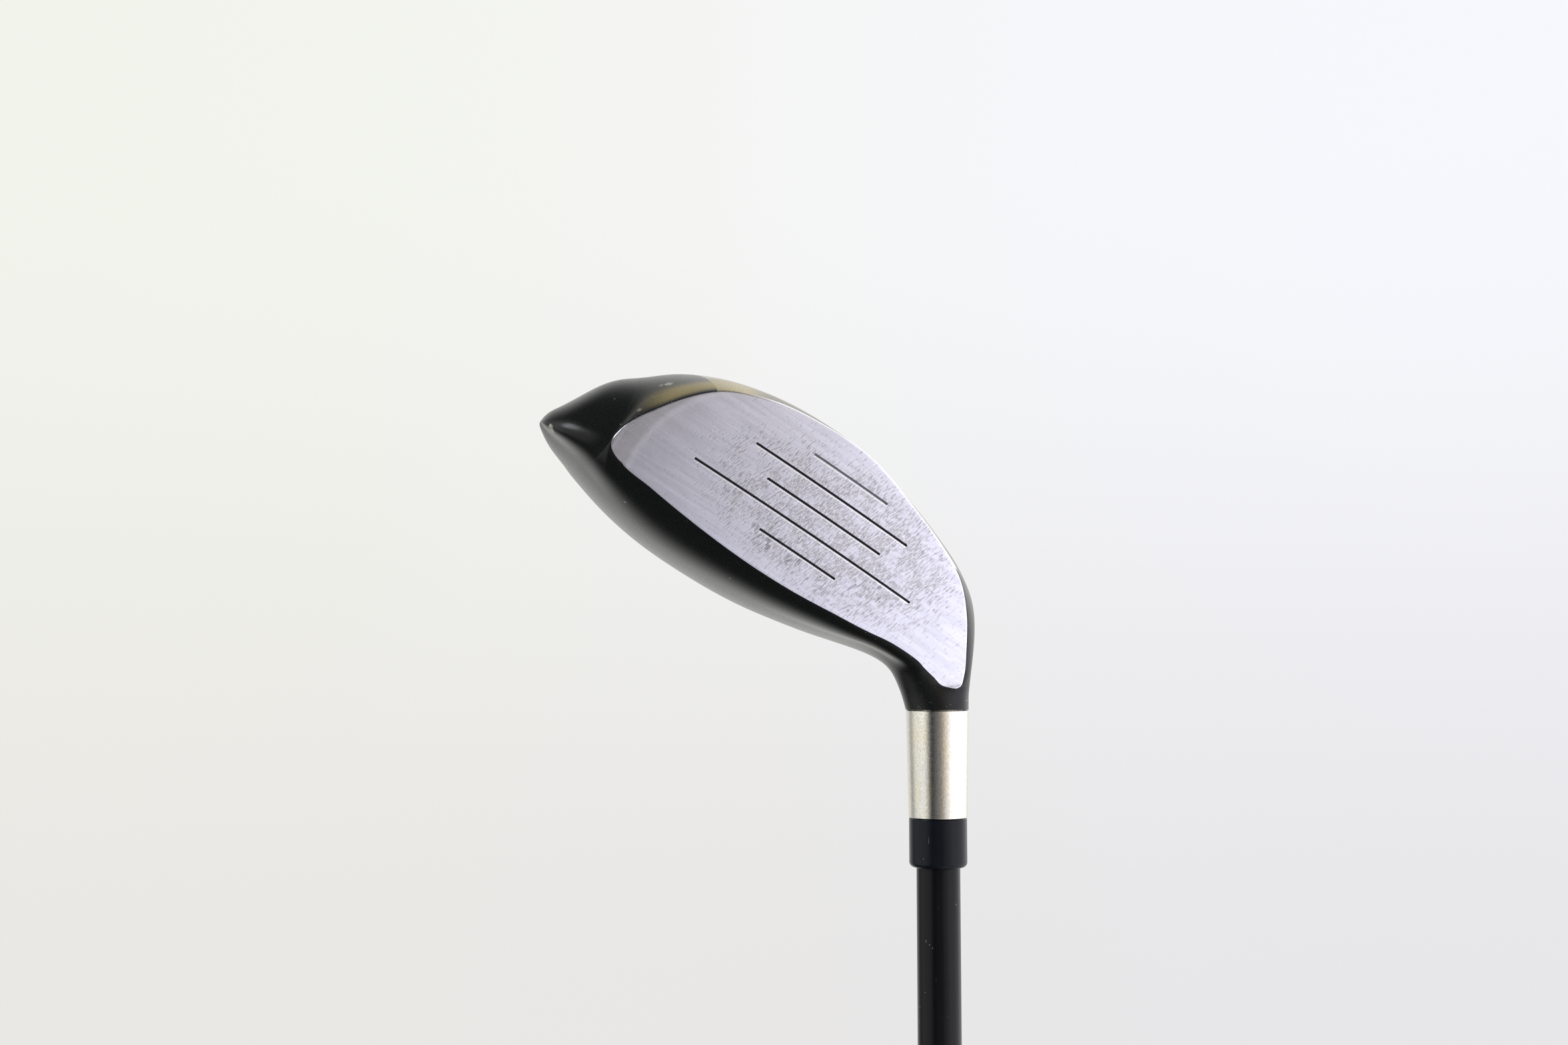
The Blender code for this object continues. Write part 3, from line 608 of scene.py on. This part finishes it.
def ferrule_ring():
    """The black ring over the shaft's entry, with a rolled end."""
    low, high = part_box("ferrule")
    start, end = high.z + FERRULE_LIFT * MM, low.z
    radius, lip = FERRULE_RADIUS * MM, FERRULE_LIP * MM
    bore = shaft_radius(end) + CLEARANCE * MM
    rolled = arc((radius - lip, end + lip), lip, 0, -82, 12)
    profile = [(bore, rolled[-1][1]), (bore, start), (radius - 0.1 * MM, start),
               (radius, start - 0.12 * MM)]
    return turned("ferrule_ring", profile + rolled)


def shaft_tube():
    """The hollow tapered shaft."""
    low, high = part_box("shaft")
    levels = [high.z, *np.linspace(high.z - SHAFT_STRAIGHT * MM, low.z, 60)]
    outer = [(shaft_radius(z), z) for z in levels]
    inner = [(radius - SHAFT_WALL * MM, z) for radius, z in outer]
    return turned("shaft_tube", inner[::-1] + outer)


def grip_sleeve():
    """The rubber grip: ring grooves, with bands of small pressed lozenges between them."""
    low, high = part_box("grip")
    start, end = low.z, high.z
    length = end - start
    pitch = (length - 2 * GRIP_PLAIN_END * MM) / GRIP_BANDS
    butt, mouth = GRIP_RADII
    angles = np.linspace(0, 2 * pi, GRIP_STEPS, endpoint=False)

    def ring(radius, z):
        return np.stack([radius * np.cos(angles), radius * np.sin(angles),
                         np.full_like(angles, z)], axis=1)

    rings = []
    for z in np.arange(end - GRIP_MOUTH_GAP * MM, start, -GRIP_RING_STEP * MM):
        share = (z - start) / length
        skin = (butt + (mouth - butt) * share ** GRIP_BEND) * MM
        place = (end - GRIP_PLAIN_END * MM - z) / pitch
        within = (place % 1.0) * pitch / MM
        ringed = 0 <= place < GRIP_BANDS
        groove = GROOVE_DEPTH * MM if ringed and GROOVE_SPAN[0] < within < GROOVE_SPAN[1] else 0.0
        in_band = ringed and LOZENGE_MARGINS[0] < within < pitch / MM - LOZENGE_MARGINS[1]
        waves = [np.cos(LOZENGES_AROUND * angles + way * z / MM * LOZENGE_TURN) for way in (1, -1)]
        depth = LOZENGE_DEPTH * MM if in_band else 0.0
        pressed = np.clip(waves[0] * waves[1] * 5, 0, 1) * depth
        rolled_in = GRIP_MOUTH * MM * max(0.0, 1 - (end - z) / (GRIP_MOUTH * MM)) ** 2
        rings.append(ring(skin - GRIP_SHRINK * MM - groove - pressed - rolled_in, z))
    for level, z in ((start, start), (end, end - GRIP_MOUTH_GAP * MM)):
        rings.append(ring(shaft_radius(level) + TAPE_ROOM * MM, z))
    rings.append(rings[0])
    points = np.array(rings)
    faces = grid_faces(len(points), GRIP_STEPS, True)
    return mesh_from_faces("grip_sleeve", points.reshape(-1, 3), faces)


def grip_end_cap():
    """The butt cap: rounded, with two turned rings and a vent hole, and a peg in the shaft."""
    low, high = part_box("grip_cap")
    top, radius, edge = CAP_TOP * MM, CAP_RADIUS * MM, CAP_EDGE * MM
    vent, peg = VENT_RADIUS * MM, PEG_RADIUS * MM
    profile = [(vent, low.z + 0.2 * MM), (vent, high.z), (peg - 0.5 * MM, high.z),
               (peg, high.z - 0.5 * MM), (peg, top), (radius - 0.2 * MM, top),
               (radius, top - 0.2 * MM)]
    profile += arc((radius - edge, edge), edge, 0, -90, 12)
    for ring in CAP_RINGS:
        profile += arc((ring * MM, 0.0), 0.35 * MM, 0, 180, 7)
    profile += [(vent + 0.3 * MM, 0.0)]
    return turned("grip_end_cap", profile)


# ---- Materials ----

IN_MM = (1 / MM,) * 3
# Between which values most of a noise lies
NOISE_SPAN = (0.3, 0.7)


class Nodes:
    """The node tree of a material or of the world, with short ways to add its nodes."""

    def __init__(self, tree):
        self.tree = tree

    def add(self, kind, inputs=None, **settings):
        made = self.tree.nodes.new("ShaderNode" + kind)
        for name, value in settings.items():
            setattr(made, name, value)
        self.connect(made, inputs or {})
        return made

    def connect(self, node, inputs):
        for key, value in inputs.items():
            if isinstance(value, bpy.types.NodeSocket):
                self.tree.links.new(value, node.inputs[key])
            else:
                node.inputs[key].default_value = value

    def vector(self, operation, a, b):
        return self.add("VectorMath", {0: a, 1: b}, operation=operation)

    def math(self, operation, *values):
        return self.add("Math", dict(enumerate(values)), operation=operation).outputs[0]

    def times(self, a, b):
        return self.math("MULTIPLY", a, b)

    def times_plus(self, a, b, c):
        return self.math("MULTIPLY_ADD", a, b, c)

    def most(self, a, b):
        return self.math("MAXIMUM", a, b)

    def apart(self, a, b):
        """How far apart two values are."""
        return self.math("ABSOLUTE", self.math("SUBTRACT", a, b))

    def squared(self, value):
        return self.math("POWER", self.math("ABSOLUTE", value), 2.0)

    def fade(self, value, low, high, start=0.0, end=1.0):
        """Goes smoothly from start to end while value goes from low to high."""
        inputs = {"Value": value, "From Min": low, "From Max": high, "To Min": start, "To Max": end}
        return self.add("MapRange", inputs, interpolation_type="SMOOTHSTEP").outputs[0]

    def mix(self, share, a, b):
        """A colour between two colours, each of them a socket or three numbers."""
        a, b = (end if isinstance(end, bpy.types.NodeSocket) else (*end, 1.0) for end in (a, b))
        return self.add("Mix", {0: share, 6: a, 7: b}, data_type="RGBA").outputs[2]


class Finish(Nodes):
    """A procedural material: the places and patterns that its shader uses."""

    def __init__(self, name):
        self.material = bpy.data.materials.new(name)
        self.material.use_nodes = True
        super().__init__(self.material.node_tree)
        self.shader = self.tree.nodes["Principled BSDF"]
        self.place = self.add("TexCoord").outputs["Object"]

    def noise(self, place, scale, detail=3.0, roughness=0.55):
        inputs = {"Vector": place, "Scale": scale, "Detail": detail, "Roughness": roughness}
        return self.add("TexNoise", inputs).outputs["Fac"]

    def own_noise(self, scale, *settings):
        """Noise over the part's own metres times a scale along each axis."""
        return self.noise(self.stretch(self.place, scale), *settings)

    def stretch(self, place, scale):
        """A place times a scale along each axis, for patterns that are drawn out."""
        return self.vector("MULTIPLY", place, scale).outputs[0]

    def address(self):
        """The address coordinates (t, f, u) in millimetres, as a vector and its three parts."""
        ground = self.vector("SUBTRACT", self.place, (0, 0, CLUB_LENGTH * MM)).outputs[0]
        ways = ((-sin(LIE), 0, cos(LIE)), (0, -1, 0), (-cos(LIE), 0, -sin(LIE)))
        parts = []
        for way in ways:
            scaled = tuple(part / MM for part in way)
            parts.append(self.vector("DOT_PRODUCT", ground, scaled).outputs["Value"])
        vector = self.add("CombineXYZ", dict(enumerate(parts))).outputs[0]
        return vector, *parts

    def behind_face(self, t, f, u):
        """How far a point lies behind the face's surface, in millimetres."""
        side = self.math("POWER", self.apart(t, FACE_MIDDLE[0]), 2.0)
        rise = self.math("POWER", self.apart(u, FACE_MIDDLE[1]), 2.0)
        bow = self.times(self.math("ADD", side, rise), -1 / (2 * FACE_BULGE))
        plane = self.times_plus(u, -tan(LOFT), FACE_PROGRESSION)
        return self.math("SUBTRACT", self.math("ADD", plane, bow), f)

    def stroke(self, t, u, low, high, grain):
        """A ragged mark on the face between two points (t, u)."""
        length = (Vector(high) - Vector(low)).length
        along = (Vector(high) - Vector(low)).normalized()
        middle = (Vector(high) + Vector(low)) / 2
        from_t, from_u = self.math("SUBTRACT", t, middle.x), self.math("SUBTRACT", u, middle.y)
        lengthwise = self.times_plus(from_t, along.x, self.times(from_u, along.y))
        sideways = self.times_plus(from_t, -along.y, self.times(from_u, along.x))
        inside = self.times(self.fade(self.math("ABSOLUTE", lengthwise), length / 2, length * 0.3),
                            self.fade(self.math("ABSOLUTE", sideways), *STROKE_WIDTHS))
        return self.times(inside, self.fade(grain, 0.40, 0.55))

    def bump(self, height, strength, distance):
        made = self.add("Bump", {"Height": height, "Strength": strength, "Distance": distance * MM})
        self.put("Normal", made.outputs[0])

    def roughen(self, pattern, smoothest, roughest):
        self.put("Roughness", self.fade(pattern, *NOISE_SPAN, smoothest, roughest))

    def put(self, name, value):
        """Sets one of the shader's inputs to a value or links it."""
        self.connect(self.shader, {name: value})


def bare_sole(look, t, f, u, grain):
    """Where the sole's steel is bare: from the toe's paint break to the heel, and low down."""
    broken = look.times_plus(grain, 0.5, look.times_plus(f, -BREAK_SLOPE, t))
    toe_side = look.fade(broken, BREAK_T + 0.2, BREAK_T + 0.3, 1, 0)
    heel_side = look.fade(look.times_plus(grain, 1.2, t), BARE_HEEL_T, BARE_HEEL_T + 0.2)
    low_side = look.fade(look.times_plus(f, 0.09, u), BARE_HEIGHT, BARE_HEIGHT + 0.2, 1, 0)
    bowed = look.times(look.squared(look.math("SUBTRACT", t, FACE_MIDDLE[0])), 0.016)
    rear_side = look.fade(look.math("SUBTRACT", bowed, f), BARE_REAR, BARE_REAR + 0.2, 1, 0)
    return look.times(look.times(toe_side, heel_side), look.times(low_side, rear_side))


def paint_damage(look, place, behind, fine):
    """Chips at their places, and small ones scattered, more of them beside the face's edge."""
    wobble = look.stretch(look.noise(place, 1.6, 4.0), (1.2, 1.2, 1.2))
    shaken = look.vector("ADD", place, wobble).outputs[0]
    chips = None
    for centre, reach in CHIPS:
        shifted = tuple(part + 0.6 for part in centre)
        distance = look.vector("DISTANCE", shaken, shifted).outputs["Value"]
        one = look.fade(look.times_plus(fine, 0.9, distance), reach + 0.40, reach + 0.52, 1, 0)
        chips = one if chips is None else look.most(chips, one)
    beside = look.fade(behind, 0.25, 1.1, 1, 0)
    nicks = look.fade(look.times_plus(beside, 0.10, look.noise(place, 0.9, 6.0, 0.75)), 0.745, 0.765)
    dust = look.fade(look.noise(place, 0.55, 2.0), 0.80, 0.82)
    return look.most(chips, look.most(nicks, dust))


def sole_steel(look, place, t, behind, grain, fine):
    """The sole's steel: dark by the face, lighter further back, golden by the paint's break."""
    brushed = look.noise(look.stretch(place, (0.1, 6, 6)), 1.0, 3.0)
    dark = look.mix(brushed, (0.13, 0.12, 0.105), (0.24, 0.22, 0.19))
    gold = look.mix(look.fade(fine, 0.35, 0.65), (0.24, 0.20, 0.11), (0.52, 0.46, 0.30))
    light = look.mix(brushed, (0.34, 0.33, 0.32), (0.56, 0.55, 0.54))
    steel = look.mix(look.fade(behind, 5.0, 12.0), dark, light)
    by_break = look.fade(look.times_plus(grain, 5.0, t), 47, 54)
    steel = look.mix(look.times(by_break, look.fade(behind, 14.0, 6.0)), steel, gold)
    # Painted highlight: a pale rim along the leading edge, fading out towards the toe
    rim = look.times(look.fade(behind, 0.5, 1.0, 1, 0), look.fade(t, 52, 42))
    return look.mix(rim, steel, (0.86, 0.86, 0.92))


def painted_steel():
    """The head's satin black paint, chipped and scratched, with the sole's steel left bare."""
    look = Finish("head_paint")
    place, t, f, u = look.address()
    behind = look.behind_face(t, f, u)
    grain = look.noise(place, 2.2, 4.0)
    fine = look.noise(place, 9.0, 3.0)
    worn = paint_damage(look, place, behind, fine)

    # A painted gold reflection: a bronze, partly metallic band on the black paint beside the face's
    # toe-sole edge
    band = look.times(look.fade(behind, 0.3, 2.5), look.fade(behind, 4.0, 9.0, 1, 0))
    band = look.times(band, look.times(look.fade(t, 67.0, 61.0), look.fade(u, 27, 17)))
    band = look.times(band, look.times(look.fade(grain, 0.30, 0.62, 0.55, 1.0), look.fade(t, 40, 50)))

    drawn_out = look.stretch(place, (0.35, 2.6, 2.6))
    scratches = look.fade(look.noise(drawn_out, 1.7, 5.0, 0.7), 0.64, 0.70)
    paint = look.mix(grain, (0.0045, 0.005, 0.005), (0.008, 0.009, 0.009))
    paint = look.mix(look.times(band, 0.85), paint, (0.30, 0.24, 0.09))
    paint = look.mix(look.times(scratches, 0.10), paint, (0.20, 0.20, 0.19))
    steel = sole_steel(look, place, t, behind, grain, fine)
    metal = look.mix(worn, steel, (0.34, 0.33, 0.28))
    bare = look.most(bare_sole(look, t, f, u, grain), worn)
    look.put("Base Color", look.mix(bare, paint, metal))
    look.put("Metallic", look.most(look.times(bare, 0.9), look.times(band, 0.75)))
    satin = look.fade(grain, *NOISE_SPAN, 0.235, 0.285)
    look.put("Roughness", look.times_plus(look.most(bare, look.times(band, 0.6)), 0.16, satin))
    look.put("IOR", 1.32)
    depth = look.times_plus(bare, -1.0, look.times(fine, 0.01))
    look.bump(look.times_plus(scratches, -0.08, depth), 0.35, 0.02)
    return look.material


def roll_off(look, t, u):
    """A painted highlight on the line where the face rolls off to the toe, and painted shade on the
    band beyond it.
    """
    spot = look.add("CombineXYZ", {0: t, 1: u}).outputs[0]
    radius = look.vector("DISTANCE", spot, (*ROLL_CENTRE, 0)).outputs["Value"]
    toe_only = look.fade(t, 51, 56)
    line = look.times(look.fade(look.apart(radius, ROLL_RADIUS), 0.0, 1.0, 1, 0), toe_only)
    return line, look.times(look.fade(radius, ROLL_RADIUS, ROLL_RADIUS + 1.2), toe_only)


def score_highlights(look, t, u):
    """A painted highlight: the bright rim along the crown's side of each score line."""
    rims = None
    for height, heel, toe in SCORE_LINES:
        across = look.apart(u, height + SCORE_HALF_WIDTH + 0.12)
        ends = look.times(look.fade(t, heel, heel + 0.4), look.fade(t, toe, toe - 0.4))
        rim = look.times(look.fade(across, 0.10, 0.24, 1, 0), ends)
        rims = rim if rims is None else look.most(rims, rim)
    return rims


def brushed_face():
    """The face's brushed steel: fine lines along it, and grass and ball scuffs in its middle."""
    look = Finish("brushed_face")
    place, t, f, u = look.address()
    brushing = look.noise(look.stretch(place, (0.09, 4.0, 22.0)), 1.0, 4.0, 0.65)
    broad = look.noise(look.stretch(place, (0.04, 0.6, 1.4)), 1.0, 3.0)
    cloud = look.noise(place, 0.11, 3.0)

    # Scuffs run nearly up the face, leaning to the heel, and crowd its middle
    lean = (sin(SCUFF_LEAN), cos(SCUFF_LEAN))
    lengthwise = look.math("ADD", look.times(t, lean[0]), look.times(u, lean[1]))
    sideways = look.math("SUBTRACT", look.times(t, lean[1]), look.times(u, lean[0]))
    scuff_place = look.add("CombineXYZ", {0: look.times(lengthwise, 0.75),
                                          1: look.times(sideways, 2.5)}).outputs[0]
    (middle_t, reach_t), (middle_u, reach_u) = SCUFF_AREA
    along = look.squared(look.times_plus(t, 1 / reach_t, -middle_t / reach_t))
    up = look.squared(look.times_plus(u, 1 / reach_u, -middle_u / reach_u))
    middle = look.fade(look.times_plus(cloud, -0.5, look.math("ADD", along, up)), 0.9, -0.1)
    crowd = look.times(middle, look.fade(look.noise(place, 0.28, 2.0), 0.35, 0.6, 0.35, 1.0))
    short = look.noise(scuff_place, 1.0, 5.0, 0.62)
    scuffs = look.fade(look.times_plus(crowd, 0.20, short), 0.55, 0.76)
    shine = look.fade(look.times_plus(crowd, 0.13, look.noise(scuff_place, 1.9, 4.0, 0.7)), 0.58, 0.70)
    shifted = look.vector("ADD", scuff_place, (7.3, 2.1, 0)).outputs[0]
    strong = look.fade(look.noise(shifted, 0.42, 3.0), 0.60, 0.66)
    strong = look.times(strong, look.times(middle, look.fade(u, 20, 27)))
    speckle = look.times(look.fade(look.noise(place, 2.6, 4.0, 0.7), 0.54, 0.68), crowd)
    for low, high in STROKES:
        strong = look.most(strong, look.stroke(t, u, low, high, short))

    roll_highlight, roll_shade = roll_off(look, t, u)
    colour = look.mix(look.fade(brushing, *NOISE_SPAN), (0.70, 0.70, 0.80), (0.84, 0.84, 0.95))
    # Painted shade: the face greyer and darker towards the toe
    colour = look.mix(look.fade(t, 50, 66, 0.0, 0.3), colour, (0.42, 0.40, 0.43))
    colour = look.mix(look.fade(broad, 0.35, 0.65, 0.0, 0.35), colour, (0.50, 0.50, 0.55))
    # Marks on the face, then the roll-off's painted shade and highlight and the score lines' painted
    # highlights
    layers = ((crowd, 0.45, (0.54, 0.53, 0.54)), (scuffs, 0.58, (0.26, 0.25, 0.26)),
              (shine, 0.55, (0.90, 0.89, 0.95)), (speckle, 0.55, (0.95, 0.95, 1.0)),
              (strong, 0.6, (0.22, 0.21, 0.23)), (roll_shade, 0.35, (0.44, 0.42, 0.42)),
              (roll_highlight, 0.30, (0.92, 0.92, 0.95)),
              (score_highlights(look, t, u), 0.75, (0.97, 0.97, 1.0)))
    for marks, strength, tint in layers:
        colour = look.mix(look.times(marks, strength), colour, tint)

    # Painted shade darkens the score lines inside, and a painted highlight makes the lowest one pale
    in_groove = look.fade(look.behind_face(t, f, u), 0.10, 0.34)
    in_groove = look.times(in_groove, look.fade(u, 10.0, 10.8))
    in_groove = look.times(in_groove, look.fade(u, 30.6, 30.0))
    groove = look.mix(look.fade(u, 14.0, 13.0), (0.03, 0.03, 0.036), (0.34, 0.34, 0.37))
    look.put("Base Color", look.mix(in_groove, colour, groove))
    look.put("Metallic", look.fade(in_groove, 0.0, 1.0, 1.0, 0.3))
    look.put("Roughness", look.times_plus(scuffs, 0.12, look.fade(brushing, *NOISE_SPAN, 0.30, 0.42)))
    height = look.times_plus(brushing, 0.6, look.times(broad, 0.4))
    height = look.times_plus(scuffs, -0.9, height)
    look.bump(look.times_plus(strong, -1.0, height), 0.55, 0.035)
    return look.material


def turned_steel():
    """The collar's lathe-finished steel: fine rings, a few nicks and warm streaks of painted
    reflection.
    """
    look = Finish("turned_steel")
    rings = look.own_noise((300, 300, 9000), 1.0, 4.0, 0.65)
    soft = look.own_noise((700, 700, 120), 1.0, 3.0)
    grit = look.own_noise((2600, 2600, 1500), 1.0, 4.0, 0.7)
    pits = look.fade(look.own_noise((900, 900, 900), 1.0, 3.0), 0.70, 0.74)
    colour = look.mix(rings, (0.58, 0.56, 0.53), (0.80, 0.79, 0.76))
    # Painted reflection: warm streaks drawn out along the collar
    colour = look.mix(look.fade(soft, 0.40, 0.62, 0, 0.6), colour, (0.72, 0.66, 0.52))
    colour = look.mix(look.fade(grit, 0.35, 0.65, 0.35, 0.0), colour, (0.34, 0.33, 0.31))
    colour = look.mix(look.times(pits, 0.4), colour, (0.30, 0.29, 0.27))
    look.put("Base Color", colour)
    look.put("Metallic", 1.0)
    look.roughen(rings, 0.13, 0.24)
    look.bump(look.times_plus(pits, -0.6, look.math("ADD", rings, grit)), 0.5, 0.03)
    return look.material


def gloss_black(name, tint, roughness, chip_level):
    """Gloss black paint or plastic with small pale chips and long hairline scratches."""
    look = Finish(name)
    grain = look.own_noise(IN_MM, 0.35, 4.0)
    speck = look.own_noise((1000, 1000, 560), 1.1, 2.0)
    chips = look.fade(speck, chip_level, chip_level + 0.012)
    hair = look.own_noise((2600, 2600, 170), 1.0, 3.0)
    hairs = look.times(look.fade(hair, 0.70, 0.73), look.fade(grain, 0.5, 0.62))
    colour = look.mix(grain, tint, tuple(part * 1.5 for part in tint))
    colour = look.mix(look.times(hairs, 0.25), colour, (0.30, 0.30, 0.30))
    colour = look.mix(look.times(chips, 0.8), colour, (0.42, 0.40, 0.37))
    look.put("Base Color", colour)
    look.roughen(grain, roughness, roughness + 0.05)
    look.put("IOR", 1.24)
    height = look.times_plus(chips, -1.0, look.times(grain, 0.05))
    look.bump(look.times_plus(hairs, -0.3, height), 0.4, 0.03)
    return look.material


def moulded_rubber(name, low, high):
    """Moulded rubber: a fine pebbled skin with painted shade in its hollows, and scuffed pale in
    places.
    """
    look = Finish(name)
    skin = look.own_noise(IN_MM, 2.4, 4.0, 0.6)
    patch = look.own_noise(IN_MM, 0.06, 3.0)
    colour = look.mix(skin, low, high)
    colour = look.mix(look.fade(patch, 0.5, 0.75, 0.0, 0.4), colour, tuple(p * 2.2 for p in high))
    look.put("Base Color", colour)
    look.roughen(skin, 0.55, 0.80)
    look.bump(skin, 0.5, 0.06)
    return look.material


def paper_tape():
    """The crepe paper tape under the grip."""
    look = Finish("paper_tape")
    crepe = look.own_noise((500, 500, 2600), 1.0, 4.0)
    look.put("Base Color", look.mix(crepe, (0.50, 0.44, 0.31), (0.70, 0.65, 0.52)))
    look.roughen(crepe, 0.7, 0.9)
    look.bump(crepe, 0.6, 0.05)
    return look.material


def cast_brass():
    """The weight's cast brass, slightly tarnished."""
    look = Finish("cast_brass")
    cast = look.own_noise(IN_MM, 0.7, 5.0)
    look.put("Base Color", look.mix(cast, (0.42, 0.28, 0.11), (0.78, 0.58, 0.27)))
    look.put("Metallic", 1.0)
    look.roughen(cast, 0.28, 0.5)
    look.bump(cast, 0.5, 0.05)
    return look.material


def floor_finish():
    """A plain pale floor with a faint mottle."""
    look = Finish("pale_floor")
    mottle = look.noise(look.place, 3.0, 4.0)
    look.put("Base Color", look.mix(mottle, (0.78, 0.78, 0.77), (0.83, 0.83, 0.82)))
    look.roughen(mottle, 0.7, 0.85)
    return look.material


# ---- Stage, light and camera ----

VIEW_TURN = radians(21.0)
VIEW_RISE = radians(4.94)
LENS = 38.25
SENSOR_WIDTH = 36.0
VIEW_FORWARD = Vector((sin(VIEW_TURN) * cos(VIEW_RISE), cos(VIEW_TURN) * cos(VIEW_RISE),
                       sin(VIEW_RISE)))
VIEW_RIGHT = Vector((cos(VIEW_TURN), -sin(VIEW_TURN), 0.0))
VIEW_UP = VIEW_RIGHT.cross(VIEW_FORWARD)
CAMERA_PLACE = Vector((-0.1571, -0.3190, 1.0448))


def add_camera():
    """The camera, low before the face and turned a little towards the toe."""
    data = bpy.data.cameras.new("camera")
    data.lens = LENS
    data.sensor_width = SENSOR_WIDTH
    data.clip_start = 0.01
    item = bpy.data.objects.new("camera", data)
    bpy.context.scene.collection.objects.link(item)
    turn = Matrix((VIEW_RIGHT, VIEW_UP, -VIEW_FORWARD)).transposed()
    item.matrix_world = Matrix.Translation(CAMERA_PLACE) @ turn.to_4x4()
    bpy.context.scene.camera = item


# Soft light from around the club: direction, the angles in degrees at which it is full and
# has faded out, colour and strength
SOFT_LIGHTS = (
    ((0.36, 0.93, 0.09), 36, 76, (1.0, 1.0, 0.97), 0.95),
    ((-0.99, 0.12, 0.12), 18, 50, (1.0, 1.0, 0.95), 1.10),
    ((0.90, -0.35, 0.25), 35, 62, (0.94, 0.92, 1.0), 0.92),
    ((0.70, -0.51, -0.50), 20, 65, (0.94, 0.93, 1.0), 1.15),
    ((0.07, -0.91, -0.40), 14, 55, (0.97, 0.94, 0.97), 0.30),
    ((0.11, -1.0, 0.10), 6, 22, (1.0, 0.86, 0.50), 0.45),
    ((-0.90, -0.12, 0.40), 6, 20, (0.93, 0.96, 1.0), 8.00),
    ((0.70, 0.27, 0.65), 15, 50, (0.95, 0.96, 1.0), 0.80),
)
LOW_DARK = 0.030
# The floor's cross-section, as (radius, z) in metres
FLOOR_PROFILE = ((0.0, -0.0005), (1.9, -0.0005), (2.0, -0.004), (2.0, -0.02), (0.0, -0.02))
FLOOR_STEPS = 96
TOP_LIGHT_PLACE = Vector((-0.4, -0.2, 2.9))
TOP_LIGHT_TARGET = Vector((0.0, 0.0, 0.6))
TOP_LIGHT_SIZE = 1.4
TOP_LIGHT_POWER = 22.0


def add_world():
    """A pale studio: a plain backdrop for the camera and soft lights for everything else."""
    world = bpy.data.worlds.new("studio")
    bpy.context.scene.world = world
    world.use_nodes = True
    nodes = Nodes(world.node_tree)
    way = nodes.add("TexCoord").outputs["Generated"]

    def towards(direction, low, high):
        """Goes from 0 to 1 as the looked-in direction's share along another grows."""
        along = nodes.vector("DOT_PRODUCT", way, tuple(direction))
        return nodes.fade(along.outputs["Value"], low, high)

    total = None
    for direction, full, faded, colour, strength in SOFT_LIGHTS:
        share = towards(Vector(direction).normalized(), cos(radians(faded)), cos(radians(full)))
        light = {0: tuple(part * strength for part in colour), "Scale": share}
        tinted = nodes.add("VectorMath", light, operation="SCALE").outputs[0]
        total = tinted if total is None else nodes.vector("ADD", total, tinted).outputs[0]
    around = nodes.vector("ADD", total, (LOW_DARK,) * 3).outputs[0]

    side = towards(VIEW_RIGHT, -0.4, 0.4)
    low_part = nodes.mix(side, (0.820, 0.805, 0.775), (0.800, 0.795, 0.815))
    high_part = nodes.mix(side, (0.890, 0.900, 0.840), (0.930, 0.935, 0.985))
    backdrop = nodes.mix(towards((0, 0, 1), -0.20, 0.30), low_part, high_part)
    seen = nodes.add("LightPath").outputs["Is Camera Ray"]
    nodes.connect(nodes.tree.nodes["Background"], {"Color": nodes.mix(seen, around, backdrop)})


def add_stage():
    """A round pale floor at the butt's end, and one large soft light above."""
    floor = turned("floor", FLOOR_PROFILE, FLOOR_STEPS)
    floor.data.materials.append(floor_finish())
    floor.visible_glossy = False

    data = bpy.data.lights.new("top_light", "AREA")
    data.size = TOP_LIGHT_SIZE
    data.energy = TOP_LIGHT_POWER
    light = bpy.data.objects.new("top_light", data)
    bpy.context.scene.collection.objects.link(light)
    light.location = TOP_LIGHT_PLACE
    light.rotation_mode = "QUATERNION"
    light.rotation_quaternion = (TOP_LIGHT_TARGET - TOP_LIGHT_PLACE).to_track_quat("-Z", "Y")
    light.visible_glossy = False


def main():
    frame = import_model()

    paint = painted_steel()
    rows, first, last = head_rows()
    finish_piece(head_shell(rows, first, last), paint, "black_paint", "head_body", "crown_plate")
    finish_piece(face_piece(rows, first, last), brushed_face(), "brushed_face", "face_plate")
    finish_piece(collar(), turned_steel(), "bright_steel", "hosel_tube")
    finish_piece(ferrule_ring(), gloss_black("ferrule_gloss", (0.004, 0.005, 0.008), 0.14, 0.75),
                 "gloss_black", "ferrule")
    finish_piece(shaft_tube(), gloss_black("shaft_gloss", (0.004, 0.004, 0.005), 0.07, 0.735),
                 "gloss_black", "shaft")
    rubber = moulded_rubber("grip_rubber", (0.010, 0.010, 0.010), (0.026, 0.026, 0.027))
    finish_piece(grip_sleeve(), rubber, "black_rubber", "grip")
    finish_piece(grip_end_cap(), rubber, "black_rubber", "grip_cap")
    plug = moulded_rubber("plug_rubber", (0.10, 0.10, 0.10), (0.22, 0.22, 0.21))
    kept = {"tip_plug": plug, "grip_tape": paper_tape(), "sole_weight": cast_brass()}
    for name, finish in kept.items():
        materials = frame["nodes"][name].data.materials
        materials.clear()
        materials.append(finish)

    add_stage()
    add_world()
    add_camera()
    bpy.context.scene.view_settings.view_transform = "Standard"


main()
